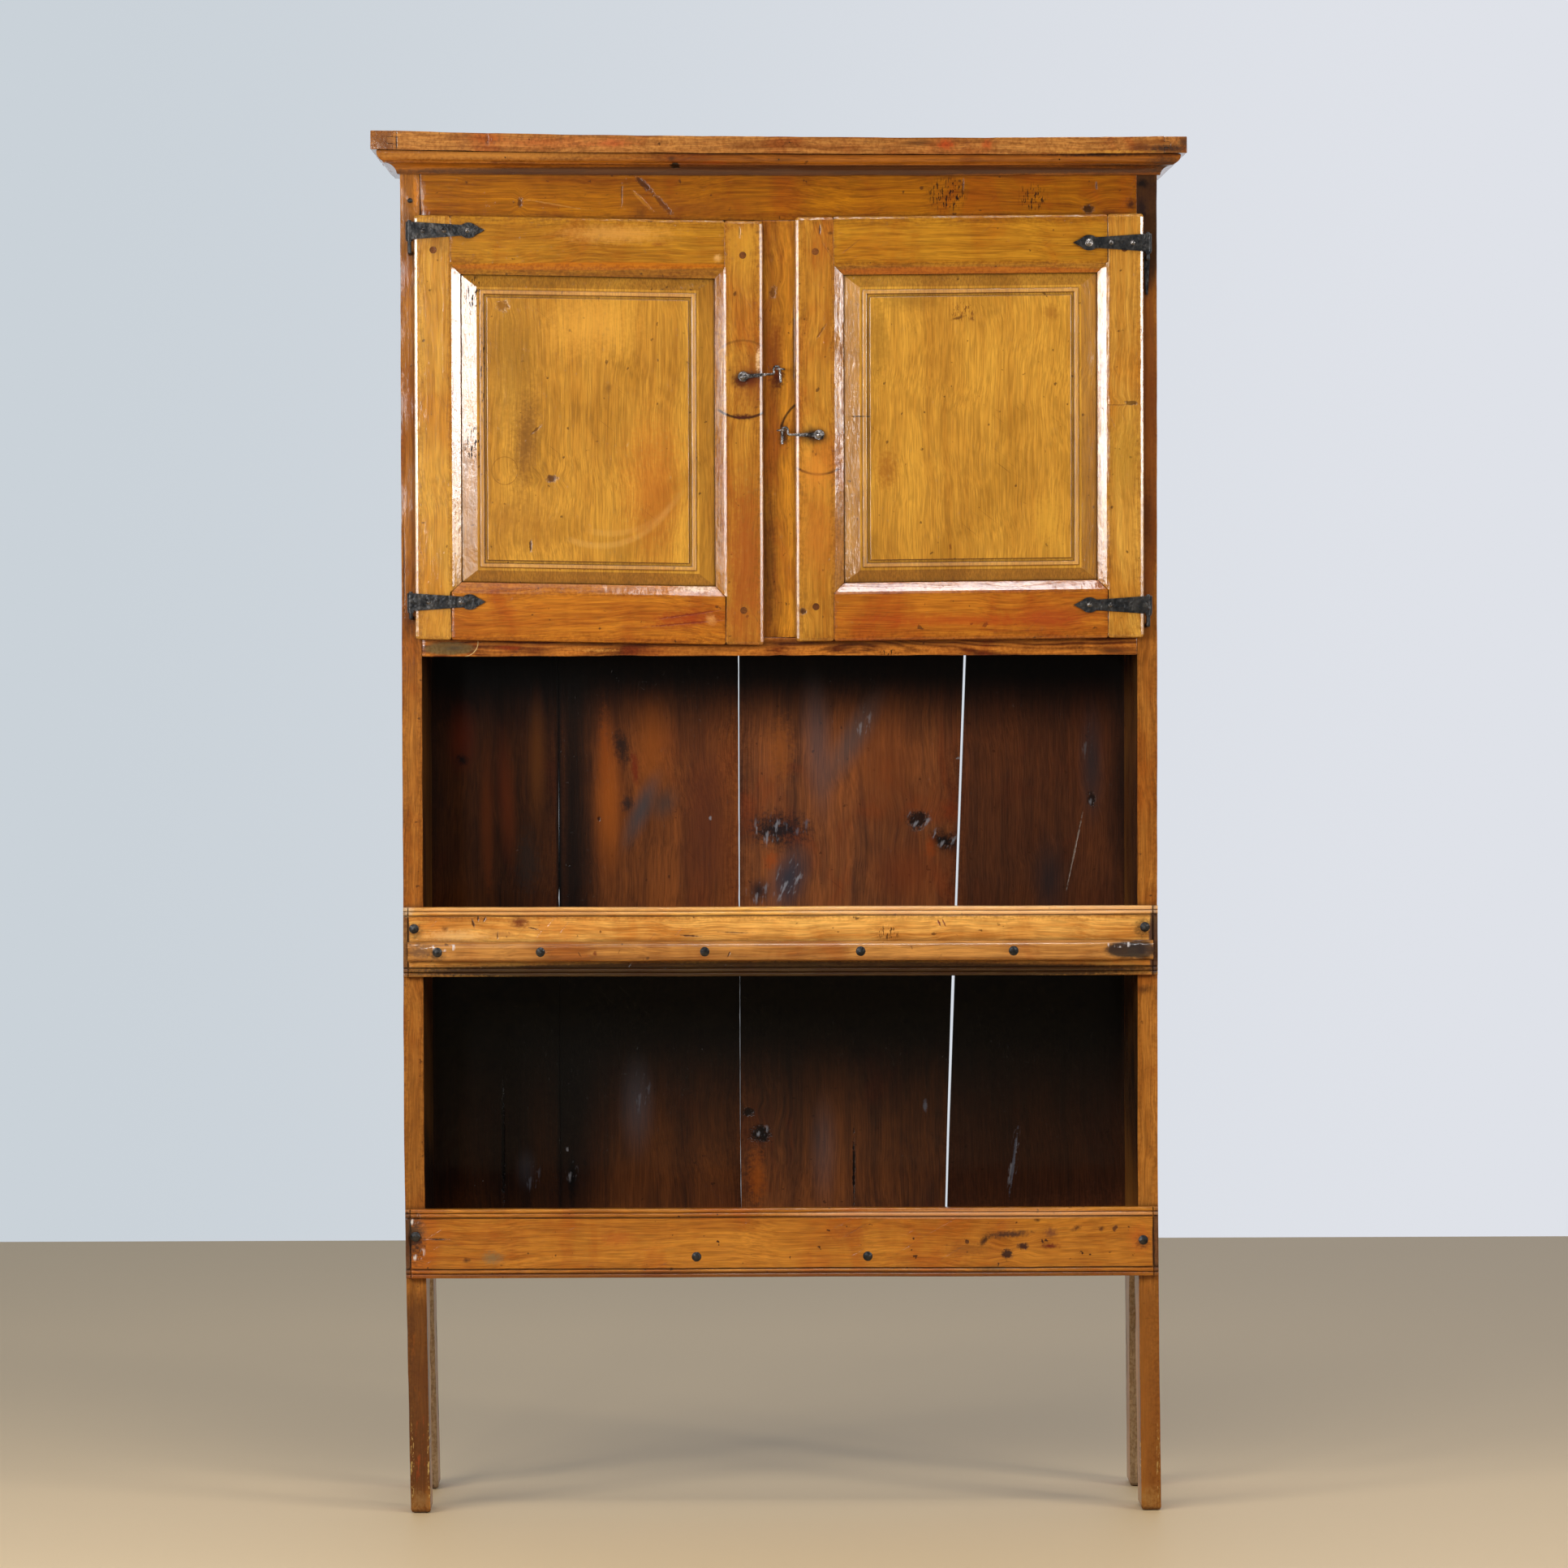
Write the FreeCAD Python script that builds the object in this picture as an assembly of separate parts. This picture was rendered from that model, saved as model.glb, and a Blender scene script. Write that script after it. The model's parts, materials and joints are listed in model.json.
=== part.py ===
import FreeCAD, Part
import math
import os

from FreeCAD import Vector

# A rustic court cupboard: a two-door cupboard over two open shelves, between
# two plank sides whose lower ends are cut out as feet. Millimetres, +Z up,
# front towards -Y. The origin lies under the middle of the whole cupboard.

# The body, and the clear heights that make up the whole height from the floor
body_width = 983.0
side_thickness = 26.0
side_depth = 300.0
foot_height = 324.0
lower_bay_height = 370.0
middle_bay_height = 376.0
cupboard_height = 537.0
cornice_projection = 37.0

# Top board and its end battens
top_thickness = 25.0
batten_width = 30.0
batten_tongue = 8.0
batten_tongue_thickness = 8.0

# Cornice moulding under the top board: a cove, a small step and an ovolo
moulding_height = 30.0
moulding_foot = 4.0
cove_reach = 20.0
cove_height = 14.0
step_reach = 1.5
step_height = 2.0
moulding_reach = 29.0

# Frieze and centre muntin
frieze_height = 96.0
frame_thickness = 22.0
frieze_tongue = 8.0
muntin_width = 65.0
muntin_tenon = 12.0
muntin_tenon_width = 32.0
muntin_tenon_thickness = 8.0

# Shelves
shelf_thickness = 24.0
shelf_housing = 8.0
housing_stop = 18.0

# Foot cut-outs: a round-headed arch that flares towards the floor
arch_floor_half = 84.0
arch_spring_half = 62.0
arch_rise = 84.0
arch_top_gap = 5.0

# Back planks in rebates
plank_thickness = 14.0
rebate_width = 12.0
top_rebate = 12.0
seam_gaps = (0.6, 2.0, 4.0)

# Front rails, nailed over the fronts of the sides
rail_thickness = 16.0
rail_end_inset = 1.0
middle_rail_drop = 40.5
lower_rail_drop = 39.2
middle_rail_height = 90.5
lower_rail_height = 90.0
bead_height = 5.6
bead_quirk = 1.4

# Round-nosed strip planted on the middle rail
strip_height = 26.0
strip_thickness = 16.0
strip_end_inset = 7.0
strip_nose = 9.0
strip_rise = 4.5

# Doors, laid over the front of the carcase
door_thickness = 22.0
door_gap = 0.5
door_lap_low = 1.5
door_lap_high = 11.5
hinge_gap = 5.5
meeting_gap = 42.0
left_door_sag = 9.0
right_door_sag = 4.0
outer_stile_width = 47.0
meeting_stile_width = 49.5
rail_width = 62.5
bevel_width = 13.0
bevel_depth = 7.5
tenon_length = 36.0
tenon_shoulder = 9.0
tenon_front = 10.0
tenon_thickness = 7.0
peg_radius = 4.5
outer_peg_inset = 25.0
meeting_peg_inset = 26.0
peg_height_inset = 45.0

# Raised panels in grooves
groove_depth = 9.0
panel_play = 1.2
panel_edge_front = 10.5
panel_edge_thickness = 6.0
panel_fit = 0.2
slope_side = 21.0
slope_end = 16.0
slope_rise = 5.0
bead_band = 13.0
bead_width = 6.0
bead_rise = 2.2
field_rise = 2.6
field_arris = 1.0

# Strap hinges on pintles
strap_thickness = 2.5
strap_width = 23.0
strap_length = 97.0
neck_width = 13.6
finial_width = 20.0
neck_share = 0.70
finial_share = 0.79
finial_end_share = 0.88
finial_end_width_share = 0.62
pin_radius = 2.5
pin_clearance = 0.06
barrel_wall = 2.4
pin_stand = 2.0
collar_radius = 4.3
collar_height = 2.0
collar_gap = 0.3
spike_length = 42.0
spike_tip_radius = 1.0
tail_length = 46.0
tail_width = 8.0
tail_tip_width = 2.4
tail_thickness = 3.0
upper_left_inset = 20.5
lower_left_inset = 48.5
upper_right_inset = 38.0
lower_right_inset = 42.5
upper_left_drop = 17.0
lower_left_drop = 9.0
upper_right_drop = 9.0
lower_right_drop = 15.0

# Hook latches from the doors to eyes in the muntin
wire_radius = 1.6
hook_reach = 48.0
hook_boss_radius = 6.5
hook_root_half = 3.0
hook_taper_length = 30.0
hook_neck_radius = 3.7
hook_neck_height = 9.4
hook_bend_radius = 2.4
hook_tip_drop = 12.0
hook_gap = 0.4
pivot_radius = 2.1
pivot_clearance = 0.07
pivot_head_radius = 4.6
pivot_head_height = 2.0
pivot_depth = 18.0
left_hook_inset = 26.0
left_hook_rise = 339.5
left_hook_tilt = 5.0
right_hook_inset = 30.5
right_hook_rise = 264.0
right_hook_tilt = 0.0
eye_radius = 5.0
eye_wire_radius = 1.2
eye_shank_radius = 1.35
eye_depth = 18.0

# Nails: shank radius, head radius and head height
nail_radius = 1.4
nail_head_radius = 3.4
nail_head_height = 1.6
nail_tip = 4.0
long_nail = 44.0
rail_nail = 50.0
strip_nail = 62.0
strap_nail = 20.0
brad_radius = 0.9
brad_length = 34.0
brad_rise = 22.0
brad_sink = 4.0
boss_nail_radius = 5.0
edge_nail_rise = 31.0
rail_nail_head_radius = 6.3
rail_nail_head_height = 2.4
middle_rail_nail_insets = (14.9, 17.5)
middle_rail_nail_rises = (63.0, 62.6)
lower_rail_nail_insets = (14.0, 20.9)
lower_rail_nail_rises = (54.6, 47.2)
strap_nails_upper_left = (17.4, 44.9, 75.0)
strap_nails_lower_left = (22.5, 64.5)
strap_nails_upper_right = (19.5, 48.0)
strap_nails_lower_right = (49.0, 76.5)
strap_boss_upper_right = 76.6

# Clearances and the one overrun of every cut
joint_clearance = 0.1
overrun = 5.0

# Places of the seams between the back planks, as shares of their whole width
seam_left_share = -0.309
seam_centre_share = -0.0555
seam_right_top_share = 0.289
seam_right_bottom_share = 0.2325

# Places of repeated nails, as shares of the length that carries them
strip_nail_shares = (-0.460, -0.322, -0.102, 0.107, 0.312)
lower_rail_nail_shares = (-0.114, 0.113)
top_nail_shares = (0.14, 0.48, 0.84)
shelf_nail_shares = (0.22, 0.74)
plank_nail_shares = (0.18, 0.82)
brad_shares = (-0.36, 0.0, 0.37)
return_brad_shares = (0.2, 0.75)
quarter_share = 1 - math.sqrt(0.5)
quarter_turn = 90
full_turn = 360

# Derived places
lower_shelf_top = foot_height + shelf_thickness
middle_shelf_top = lower_shelf_top + lower_bay_height + shelf_thickness
upper_shelf_top = middle_shelf_top + middle_bay_height + shelf_thickness
frieze_bottom = upper_shelf_top + cupboard_height
top_bottom = frieze_bottom + frieze_height
overall_height = top_bottom + top_thickness
total_depth = side_depth + cornice_projection
back = total_depth / 2
front = back - side_depth
body_half = body_width / 2
inner_half = body_half - side_thickness
top_half = body_half + cornice_projection
cornice_bottom = top_bottom - moulding_height
plank_front = back - plank_thickness
plank_half = inner_half + rebate_width
plank_top = top_bottom + top_rebate
plank_bottom = foot_height
arch_spring_height = foot_height - arch_top_gap - arch_rise
rail_front = front - rail_thickness
strip_front = rail_front - strip_thickness
rail_half = body_half - rail_end_inset
strip_half = body_half - strip_end_inset
hinge_x = body_half - side_thickness / 2
door_outer = hinge_x - hinge_gap
door_width = door_outer - meeting_gap / 2
door_height = door_lap_low + cupboard_height + door_lap_high
door_bottom = upper_shelf_top - door_lap_low
door_top = door_bottom + door_height
door_face = front - door_gap - door_thickness
barrel_radius = pin_radius + pin_clearance + barrel_wall
hinge_y = door_face - strap_thickness + barrel_radius
hook_plane = door_face - hook_gap - wire_radius
board_middle = shelf_thickness / 2
middle_rail_bottom = middle_shelf_top - middle_rail_drop
lower_rail_bottom = lower_shelf_top - lower_rail_drop
strip_bottom = middle_shelf_top - board_middle - strip_height / 2 + strip_rise


def block(x, y, z):
    """A box between (low, high) pairs."""
    corner = Vector(x[0], y[0], z[0])
    return Part.makeBox(x[1] - x[0], y[1] - y[0], z[1] - z[0], corner)


def prism(corners, run):
    """A flat outline of points, carried along a vector."""
    outline = Part.makePolygon(corners + corners[:1])
    return Part.Face(outline).extrude(run)


def line(a, b):
    return Part.LineSegment(a, b).toShape()


def arc(a, middle, b):
    return Part.Arc(a, middle, b).toShape()


def cut_all(shape, tools):
    for tool in tools:
        shape = shape.cut(tool)
    return shape


def fuse_all(shapes):
    whole = shapes[0].fuse(shapes[1:])
    return whole.removeSplitter()


def save(name, shape):
    """Writes one node, as one solid or as a group of separate solids."""
    solids = shape.Solids
    kept = solids[0] if len(solids) == 1 else Part.makeCompound(solids)
    kept.exportStep("parts/" + name + ".step")


# Nails


def nail(head, into, length, radius=nail_radius, head_radius=nail_head_radius, head_height=nail_head_height):
    """A nail with a domed head, whose shank points along the vector into."""
    dome_radius = (head_radius ** 2 + head_height ** 2) / (2 * head_height)
    centre = head + into * (dome_radius - head_height)
    low_angle = math.degrees(math.asin((dome_radius - head_height) / dome_radius))
    dome = Part.makeSphere(dome_radius, centre, -into, low_angle, quarter_turn, full_turn)
    shank = Part.makeCylinder(radius, length - nail_tip, head, into)
    point = Part.makeCone(radius, 0, nail_tip, head + into * (length - nail_tip), into)
    return fuse_all([dome, shank, point])


def nail_hole(head, into, length, radius=nail_radius):
    """The bore for a nail, open at its head."""
    start = head - into * overrun
    return Part.makeCylinder(radius + joint_clearance, length + overrun + joint_clearance, start, into)


def brad(head, into):
    """A headless nail, punched below the surface."""
    shank = Part.makeCylinder(brad_radius, brad_length - nail_tip, head, into)
    point = Part.makeCone(brad_radius, 0, nail_tip, head + into * (brad_length - nail_tip), into)
    return fuse_all([shank, point])


def sunk(surface, into):
    """The place of a nail whose crown lies level with the surface."""
    return (surface + into * nail_head_height, into)


def counterbores(places):
    """The rooms for the heads of nails driven below the surface."""
    radius = nail_head_radius + joint_clearance
    return [Part.makeCylinder(radius, overrun, head - into * overrun, into) for head, into in places]


def nails(places, length):
    return [nail(head, into, length) for head, into in places]


def rail_nails(places, length):
    """Nails with the large heads of the front rails."""
    heads = (rail_nail_head_radius, rail_nail_head_height)
    return [nail(head, into, length, nail_radius, *heads) for head, into in places]


def sunk_holes(places, length):
    return nail_holes(places, length) + counterbores(places)


def nail_holes(places, length, radius=nail_radius):
    return [nail_hole(head, into, length, radius) for head, into in places]


inward_y = Vector(0, 1, 0)
forward_y = Vector(0, -1, 0)
down_z = Vector(0, 0, -1)
shelf_tops = (upper_shelf_top, middle_shelf_top, lower_shelf_top)


def end_places(bottom, insets, rises):
    """The nails at the left and the right end of a rail."""
    return [
        (Vector(s * (body_half - inset), rail_front, bottom + rise), inward_y)
        for s, inset, rise in zip((-1, 1), insets, rises)
    ]


middle_rail_places = end_places(middle_rail_bottom, middle_rail_nail_insets, middle_rail_nail_rises)
lower_end_places = end_places(lower_rail_bottom, lower_rail_nail_insets, lower_rail_nail_rises)
lower_shelf_places = [
    (Vector(share * body_width, rail_front, lower_shelf_top - board_middle), inward_y)
    for share in lower_rail_nail_shares
]
strip_places = [
    (Vector(share * strip_half * 2, strip_front, strip_bottom + strip_height / 2), inward_y)
    for share in strip_nail_shares
]
edge_place = [(Vector(-hinge_x, front, frieze_bottom + edge_nail_rise), inward_y)]
top_places = [
    sunk(Vector(s * hinge_x, front + share * side_depth, overall_height), down_z)
    for s in (-1, 1)
    for share in top_nail_shares
]
side_places = [
    sunk(Vector(s * body_half, front + share * side_depth, top - board_middle), Vector(-s, 0, 0))
    for s in (-1, 1)
    for top in shelf_tops
    for share in shelf_nail_shares
]
brad_reach = moulding_reach - brad_sink
brad_z = cornice_bottom + brad_rise
front_brad_places = [
    (Vector(share * body_width, front - brad_reach, brad_z), inward_y)
    for share in brad_shares
]
return_brad_places = [
    (Vector(s * (body_half + brad_reach), front + share * side_depth, brad_z), Vector(-s, 0, 0))
    for s in (-1, 1)
    for share in return_brad_shares
]


# Carcase


def foot_arch(x):
    """The cut-out between the two feet of one side."""
    centre = (front + back) / 2

    def at(y, z):
        return Vector(x, centre + y, z)

    def flare(s):
        middle_y = s * (arch_floor_half * (1 - quarter_share) + arch_spring_half * quarter_share)
        return at(middle_y, arch_spring_height / 2)

    crown = at(0, plank_bottom - arch_top_gap)
    below = [at(s * arch_floor_half, -overrun) for s in (-1, 1)]
    floor = [at(s * arch_floor_half, 0) for s in (-1, 1)]
    spring = [at(s * arch_spring_half, arch_spring_height) for s in (-1, 1)]
    edges = [line(below[0], floor[0]), arc(floor[0], flare(-1), spring[0])]
    edges += [arc(spring[0], crown, spring[1]), arc(spring[1], flare(1), floor[1])]
    edges += [line(floor[1], below[1]), line(below[1], below[0])]
    return Part.Face(Part.Wire(edges)).extrude(Vector(side_thickness + 2 * overrun, 0, 0))


def shelf_slot(top, clearance=0):
    """The housed length of a shelf, which runs into both sides behind the stop."""
    reach = inner_half + shelf_housing + clearance
    low = top - shelf_thickness - clearance
    return block((-reach, reach), (front + housing_stop - clearance, back + overrun), (low, top + clearance))


def frieze_slot(clearance=0):
    reach = inner_half + frieze_tongue + clearance
    y = (front + frame_thickness / 2 - clearance, front + frame_thickness + clearance)
    return block((-reach, reach), y, (frieze_bottom - clearance, top_bottom + clearance))


def side(s):
    """One plank side, with foot arch, housings, rebate and nail holes."""
    outer = s * body_half
    inner = s * inner_half
    low_x = min(outer, inner)
    board = block((low_x, low_x + side_thickness), (front, back), (0, top_bottom))
    board = board.cut(foot_arch(low_x - overrun))
    rebate_x = sorted((s * (inner_half - overrun), s * plank_half))
    rebate = block(rebate_x, (plank_front, back + overrun), (plank_bottom, top_bottom + overrun))
    slots = [shelf_slot(top, joint_clearance) for top in shelf_tops] + [frieze_slot(joint_clearance)]
    bores = nail_holes(middle_rail_places + lower_end_places, rail_nail)
    bores += sunk_holes(top_places + side_places, long_nail)
    bores += nail_holes(return_brad_places, brad_length, brad_radius)
    if s < 0:
        bores += nail_holes(edge_place, long_nail)
    for hinge in hinges:
        bores.append(spike_bore(hinge))
    return cut_all(board, [rebate] + slots + bores)


def shelf(top):
    """A shelf flush with the fronts of the sides, housed in them behind a stop."""
    low = top - shelf_thickness
    bare = block((-inner_half, inner_half), (front, plank_front), (low, top))
    reach = inner_half + shelf_housing
    housed = block((-reach, reach), (front + housing_stop, plank_front), (low, top))
    board = fuse_all([bare, housed])
    bores = nail_holes(side_places, long_nail)
    bores += nail_holes(strip_places, strip_nail)
    bores += nail_holes(lower_shelf_places, rail_nail)
    bores += nail_holes(back_places, long_nail)
    return cut_all(board, bores)


def frieze_rail():
    board = block((-inner_half, inner_half), (front, front + frame_thickness), (frieze_bottom, top_bottom))
    board = fuse_all([board, frieze_slot()])
    bores = nail_holes(front_brad_places, brad_length, brad_radius)
    return cut_all(board, [muntin_tenon_at(frieze_bottom, joint_clearance)] + bores)


def muntin_tenon_at(z, clearance=0):
    """The stub tenon at one end of the muntin, centred on the height z."""
    half = muntin_tenon_width / 2 + clearance
    reach = muntin_tenon + clearance
    middle = front + frame_thickness / 2
    y_half = muntin_tenon_thickness / 2 + clearance
    return block((-half, half), (middle - y_half, middle + y_half), (z - reach, z + reach))


def centre_muntin():
    half = muntin_width / 2
    post = block((-half, half), (front, front + frame_thickness), (upper_shelf_top, frieze_bottom))
    post = fuse_all([post, muntin_tenon_at(upper_shelf_top), muntin_tenon_at(frieze_bottom)])
    return cut_all(post, [eye_bore(latch) for latch in latches])


def top_board():
    """The top, tongued into its end battens and rebated for the back planks."""
    half = top_half - batten_width
    y = (front - cornice_projection, back)
    board = block((-half, half), y, (top_bottom, overall_height))
    board = fuse_all([board, batten_slot()])
    rebate_y = (plank_front, back + overrun)
    rebate = block((-plank_half, plank_half), rebate_y, (top_bottom - overrun, plank_top))
    return cut_all(board, [rebate] + sunk_holes(top_places, long_nail) + nail_holes(back_places, long_nail))


def batten_slot(clearance=0):
    half = top_half - batten_width + batten_tongue + clearance
    middle = overall_height - top_thickness / 2
    z_half = batten_tongue_thickness / 2 + clearance
    y = (front - cornice_projection, back)
    return block((-half, half), y, (middle - z_half, middle + z_half))


def top_batten(s):
    x = sorted((s * top_half, s * (top_half - batten_width)))
    board = block(x, (front - cornice_projection, back), (top_bottom, overall_height))
    return board.cut(batten_slot(joint_clearance))


def moulding(start, outward, run):
    """The cornice section at a corner of the body, carried along run."""

    def at(reach, rise):
        return start + outward * reach + Vector(0, 0, rise)

    cove_mid = at(
        moulding_foot + (cove_reach - moulding_foot) * quarter_share,
        cove_height * (1 - quarter_share),
    )
    step = cove_reach + step_reach
    step_top = cove_height + step_height
    ovolo_mid = at(
        moulding_reach - (moulding_reach - step) * quarter_share,
        step_top + (moulding_height - step_top) * quarter_share,
    )
    edges = [
        line(at(0, 0), at(moulding_foot, 0)),
        arc(at(moulding_foot, 0), cove_mid, at(cove_reach, cove_height)),
        line(at(cove_reach, cove_height), at(step, cove_height)),
        line(at(step, cove_height), at(step, step_top)),
        arc(at(step, step_top), ovolo_mid, at(moulding_reach, moulding_height)),
        line(at(moulding_reach, moulding_height), at(0, moulding_height)),
        line(at(0, moulding_height), at(0, 0)),
    ]
    return Part.Face(Part.Wire(edges)).extrude(run)


def mitre_room(corners):
    """A block over a plan outline, as high as the moulding and a little more."""
    low = cornice_bottom - overrun
    outline = [Vector(x, y, low) for x, y in corners]
    return prism(outline, Vector(0, 0, moulding_height + 2 * overrun))


def cornice_front():
    reach = body_half + cornice_projection
    length = Vector(2 * reach, 0, 0)
    piece = moulding(Vector(-reach, front, cornice_bottom), forward_y, length)
    edge = front - cornice_projection
    room = mitre_room([(-body_half, front), (body_half, front), (reach, edge), (-reach, edge)])
    bores = nail_holes(front_brad_places, brad_length, brad_radius)
    return cut_all(piece.common(room), bores)


def cornice_return(s):
    reach = body_half + cornice_projection
    edge = front - cornice_projection
    start = Vector(s * body_half, edge, cornice_bottom)
    piece = moulding(start, Vector(s, 0, 0), Vector(0, back - edge, 0))
    room = mitre_room([(s * body_half, front), (s * reach, edge), (s * reach, back), (s * body_half, back)])
    bores = nail_holes(return_brad_places, brad_length, brad_radius)
    return cut_all(piece.common(room), bores)


# The seams between the back planks, as the middle of each gap at the foot and
# at the head of the planks
seam_shares = (
    (seam_left_share, seam_left_share),
    (seam_centre_share, seam_centre_share),
    (seam_right_bottom_share, seam_right_top_share),
)


def plank_edges():
    """The (foot, head) places of the left and right edge of each plank."""
    lefts = [(-plank_half, -plank_half)]
    rights = []
    for shares, gap in zip(seam_shares, seam_gaps):
        foot, head = (2 * plank_half * share for share in shares)
        rights.append((foot - gap / 2, head - gap / 2))
        lefts.append((foot + gap / 2, head + gap / 2))
    rights.append((plank_half, plank_half))
    return list(zip(lefts, rights))


def plank_x(edge, z):
    """Where a plank's edge stands at a height."""
    share = (z - plank_bottom) / (plank_top - plank_bottom)
    return edge[0] + (edge[1] - edge[0]) * share


def back_nail_places():
    places = []
    heights = [top - board_middle for top in shelf_tops] + [top_bottom + top_rebate / 2]
    for left, right in plank_edges():
        for z in heights:
            low, high = plank_x(left, z), plank_x(right, z)
            for share in plank_nail_shares:
                places.append(sunk(Vector(low + (high - low) * share, back, z), forward_y))
    return places


back_places = back_nail_places()


def back_plank(left, right):
    corners = [
        Vector(left[0], plank_front, plank_bottom),
        Vector(right[0], plank_front, plank_bottom),
        Vector(right[1], plank_front, plank_top),
        Vector(left[1], plank_front, plank_top),
    ]
    board = prism(corners, Vector(0, plank_thickness, 0))
    return cut_all(board, sunk_holes(back_places, long_nail))


def beaded_rail(low, height):
    """A flat rail with a pair of beads along its top and bottom edges and one across each end."""

    def at(depth, z):
        return Vector(-rail_half, front - depth, z)

    radius = bead_height / 2
    shy = rail_thickness - radius
    face_low = low + 2 * bead_height
    face_high = low + height - 2 * bead_height
    edges = [line(at(0, low), at(shy, low))]
    for start in (low, low + bead_height):
        middle = at(rail_thickness, start + radius)
        edges.append(arc(at(shy, start), middle, at(shy, start + bead_height)))
    edges += [
        line(at(shy, face_low), at(shy, face_low + bead_quirk)),
        line(at(shy, face_low + bead_quirk), at(rail_thickness, face_low + bead_quirk)),
        line(at(rail_thickness, face_low + bead_quirk), at(rail_thickness, face_high - bead_quirk)),
        line(at(rail_thickness, face_high - bead_quirk), at(shy, face_high - bead_quirk)),
        line(at(shy, face_high - bead_quirk), at(shy, face_high)),
    ]
    for start in (face_high, face_high + bead_height):
        middle = at(rail_thickness, start + radius)
        edges.append(arc(at(shy, start), middle, at(shy, start + bead_height)))
    edges += [line(at(shy, low + height), at(0, low + height)), line(at(0, low + height), at(0, low))]
    rail = Part.Face(Part.Wire(edges)).extrude(Vector(2 * rail_half, 0, 0))
    start = rail_half - bead_height - bead_quirk
    across = (rail_front - overrun, front - shy)
    along = (low - overrun, low + height + overrun)
    quirks = [block(sorted((s * start, s * (start + bead_quirk))), across, along) for s in (-1, 1)]
    return cut_all(rail, quirks)


def middle_rail():
    rail = beaded_rail(middle_rail_bottom, middle_rail_height)
    return cut_all(rail, nail_holes(middle_rail_places, rail_nail) + nail_holes(strip_places, strip_nail))


def lower_rail():
    rail = beaded_rail(lower_rail_bottom, lower_rail_height)
    return cut_all(rail, nail_holes(lower_end_places + lower_shelf_places, rail_nail))


def middle_rail_strip():
    """A lip with a rounded nose."""
    low = strip_bottom
    high = strip_bottom + strip_height

    def at(depth, z):
        return Vector(-strip_half, rail_front - depth, z)

    shy = strip_thickness - strip_nose
    turn = strip_nose * (1 - quarter_share)
    edges = [
        line(at(0, low), at(shy, low)),
        arc(at(shy, low), at(shy + turn, low + strip_nose - turn), at(strip_thickness, low + strip_nose)),
        line(at(strip_thickness, low + strip_nose), at(strip_thickness, high - strip_nose)),
        arc(at(strip_thickness, high - strip_nose), at(shy + turn, high - strip_nose + turn), at(shy, high)),
        line(at(shy, high), at(0, high)),
        line(at(0, high), at(0, low)),
    ]
    strip = Part.Face(Part.Wire(edges)).extrude(Vector(2 * strip_half, 0, 0))
    return cut_all(strip, nail_holes(strip_places, strip_nail))


# Doors. A place on a door is (u, w, depth): u runs in from the hinge side, w up
# from the bottom edge and depth back from the front face. A door that sags
# hangs lower at its meeting side, with its stiles still upright.


class Door:
    def __init__(self, s, sag, straps, hook_inset, hook_rise):
        self.s = s
        self.sag = sag
        self.straps = straps
        self.hook_u = door_width - hook_inset
        self.hook_z = door_bottom + hook_rise

    def at(self, u, w, depth):
        z = door_bottom + w - self.sag * u / door_width
        return Vector(self.s * (door_outer - u), door_face + depth, z)

    def slab(self, outline, near, far):
        corners = [self.at(u, w, near) for u, w in outline]
        return prism(corners, Vector(0, far - near, 0))

    def pegs(self, clearance=0):
        """The four pegs that draw the tenons, or their bores."""
        found = []
        for u in (outer_peg_inset, door_width - meeting_peg_inset):
            for w in (peg_height_inset, door_height - peg_height_inset):
                start = self.at(u, w, -clearance)
                length = door_thickness + 2 * clearance
                found.append(Part.makeCylinder(peg_radius + clearance, length, start, inward_y))
        return found

    def nail_places(self):
        return [place for strap in self.straps for place in strap.nail_places()]

    def boss_places(self):
        return [place for strap in self.straps for place in strap.boss_places()]

    def bores(self):
        """The bores for the strap nails and the pivot of the hook."""
        holes = nail_holes(self.nail_places() + self.boss_places(), strap_nail)
        length = pivot_depth + door_gap + overrun
        pivot = Vector(self.pivot().x, door_face - overrun, self.hook_z)
        return holes + [Part.makeCylinder(pivot_radius + joint_clearance, length, pivot, inward_y)]

    def pivot(self):
        x = self.s * (door_outer - self.hook_u)
        return Vector(x, hook_plane, self.hook_z)


def rectangle(u0, u1, w0, w1):
    return [(u0, w0), (u1, w0), (u1, w1), (u0, w1)]


def panel_pocket(door, near, far, play=0):
    """The room that the grooves leave for the panel."""
    edge = groove_depth - play
    u0 = outer_stile_width + bevel_width - edge
    u1 = door_width - meeting_stile_width - bevel_width + edge
    w0 = rail_width + bevel_width - edge
    return door.slab(rectangle(u0, u1, w0, door_height - w0), near, far)


def groove(door):
    far = panel_edge_front + panel_edge_thickness
    return panel_pocket(door, panel_edge_front - panel_fit, far + panel_fit)


def tenon(door, u_shoulder, outward, w0, clearance=0):
    """A tenon that runs outward from a rail's shoulder into the stile."""
    tip = u_shoulder + outward * (tenon_length + clearance)
    root = u_shoulder - outward * overrun
    u0, u1 = min(tip, root), max(tip, root)
    low = w0 + tenon_shoulder - clearance
    high = w0 + rail_width - tenon_shoulder + clearance
    near = tenon_front - clearance
    far = tenon_front + tenon_thickness + clearance
    return door.slab(rectangle(u0, u1, low, high), near, far)


def stile_bevel(door, u_flat, inward):
    """The wedge that bevels a stile's inner edge."""
    u_end = u_flat + inward * (bevel_width + overrun)
    deep = bevel_depth * (bevel_width + overrun) / bevel_width
    corners = [
        door.at(u_flat, 0, 0),
        door.at(u_flat, 0, -overrun),
        door.at(u_end, 0, -overrun),
        door.at(u_end, 0, deep),
    ]
    return prism(corners, Vector(0, 0, door_height))


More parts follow.
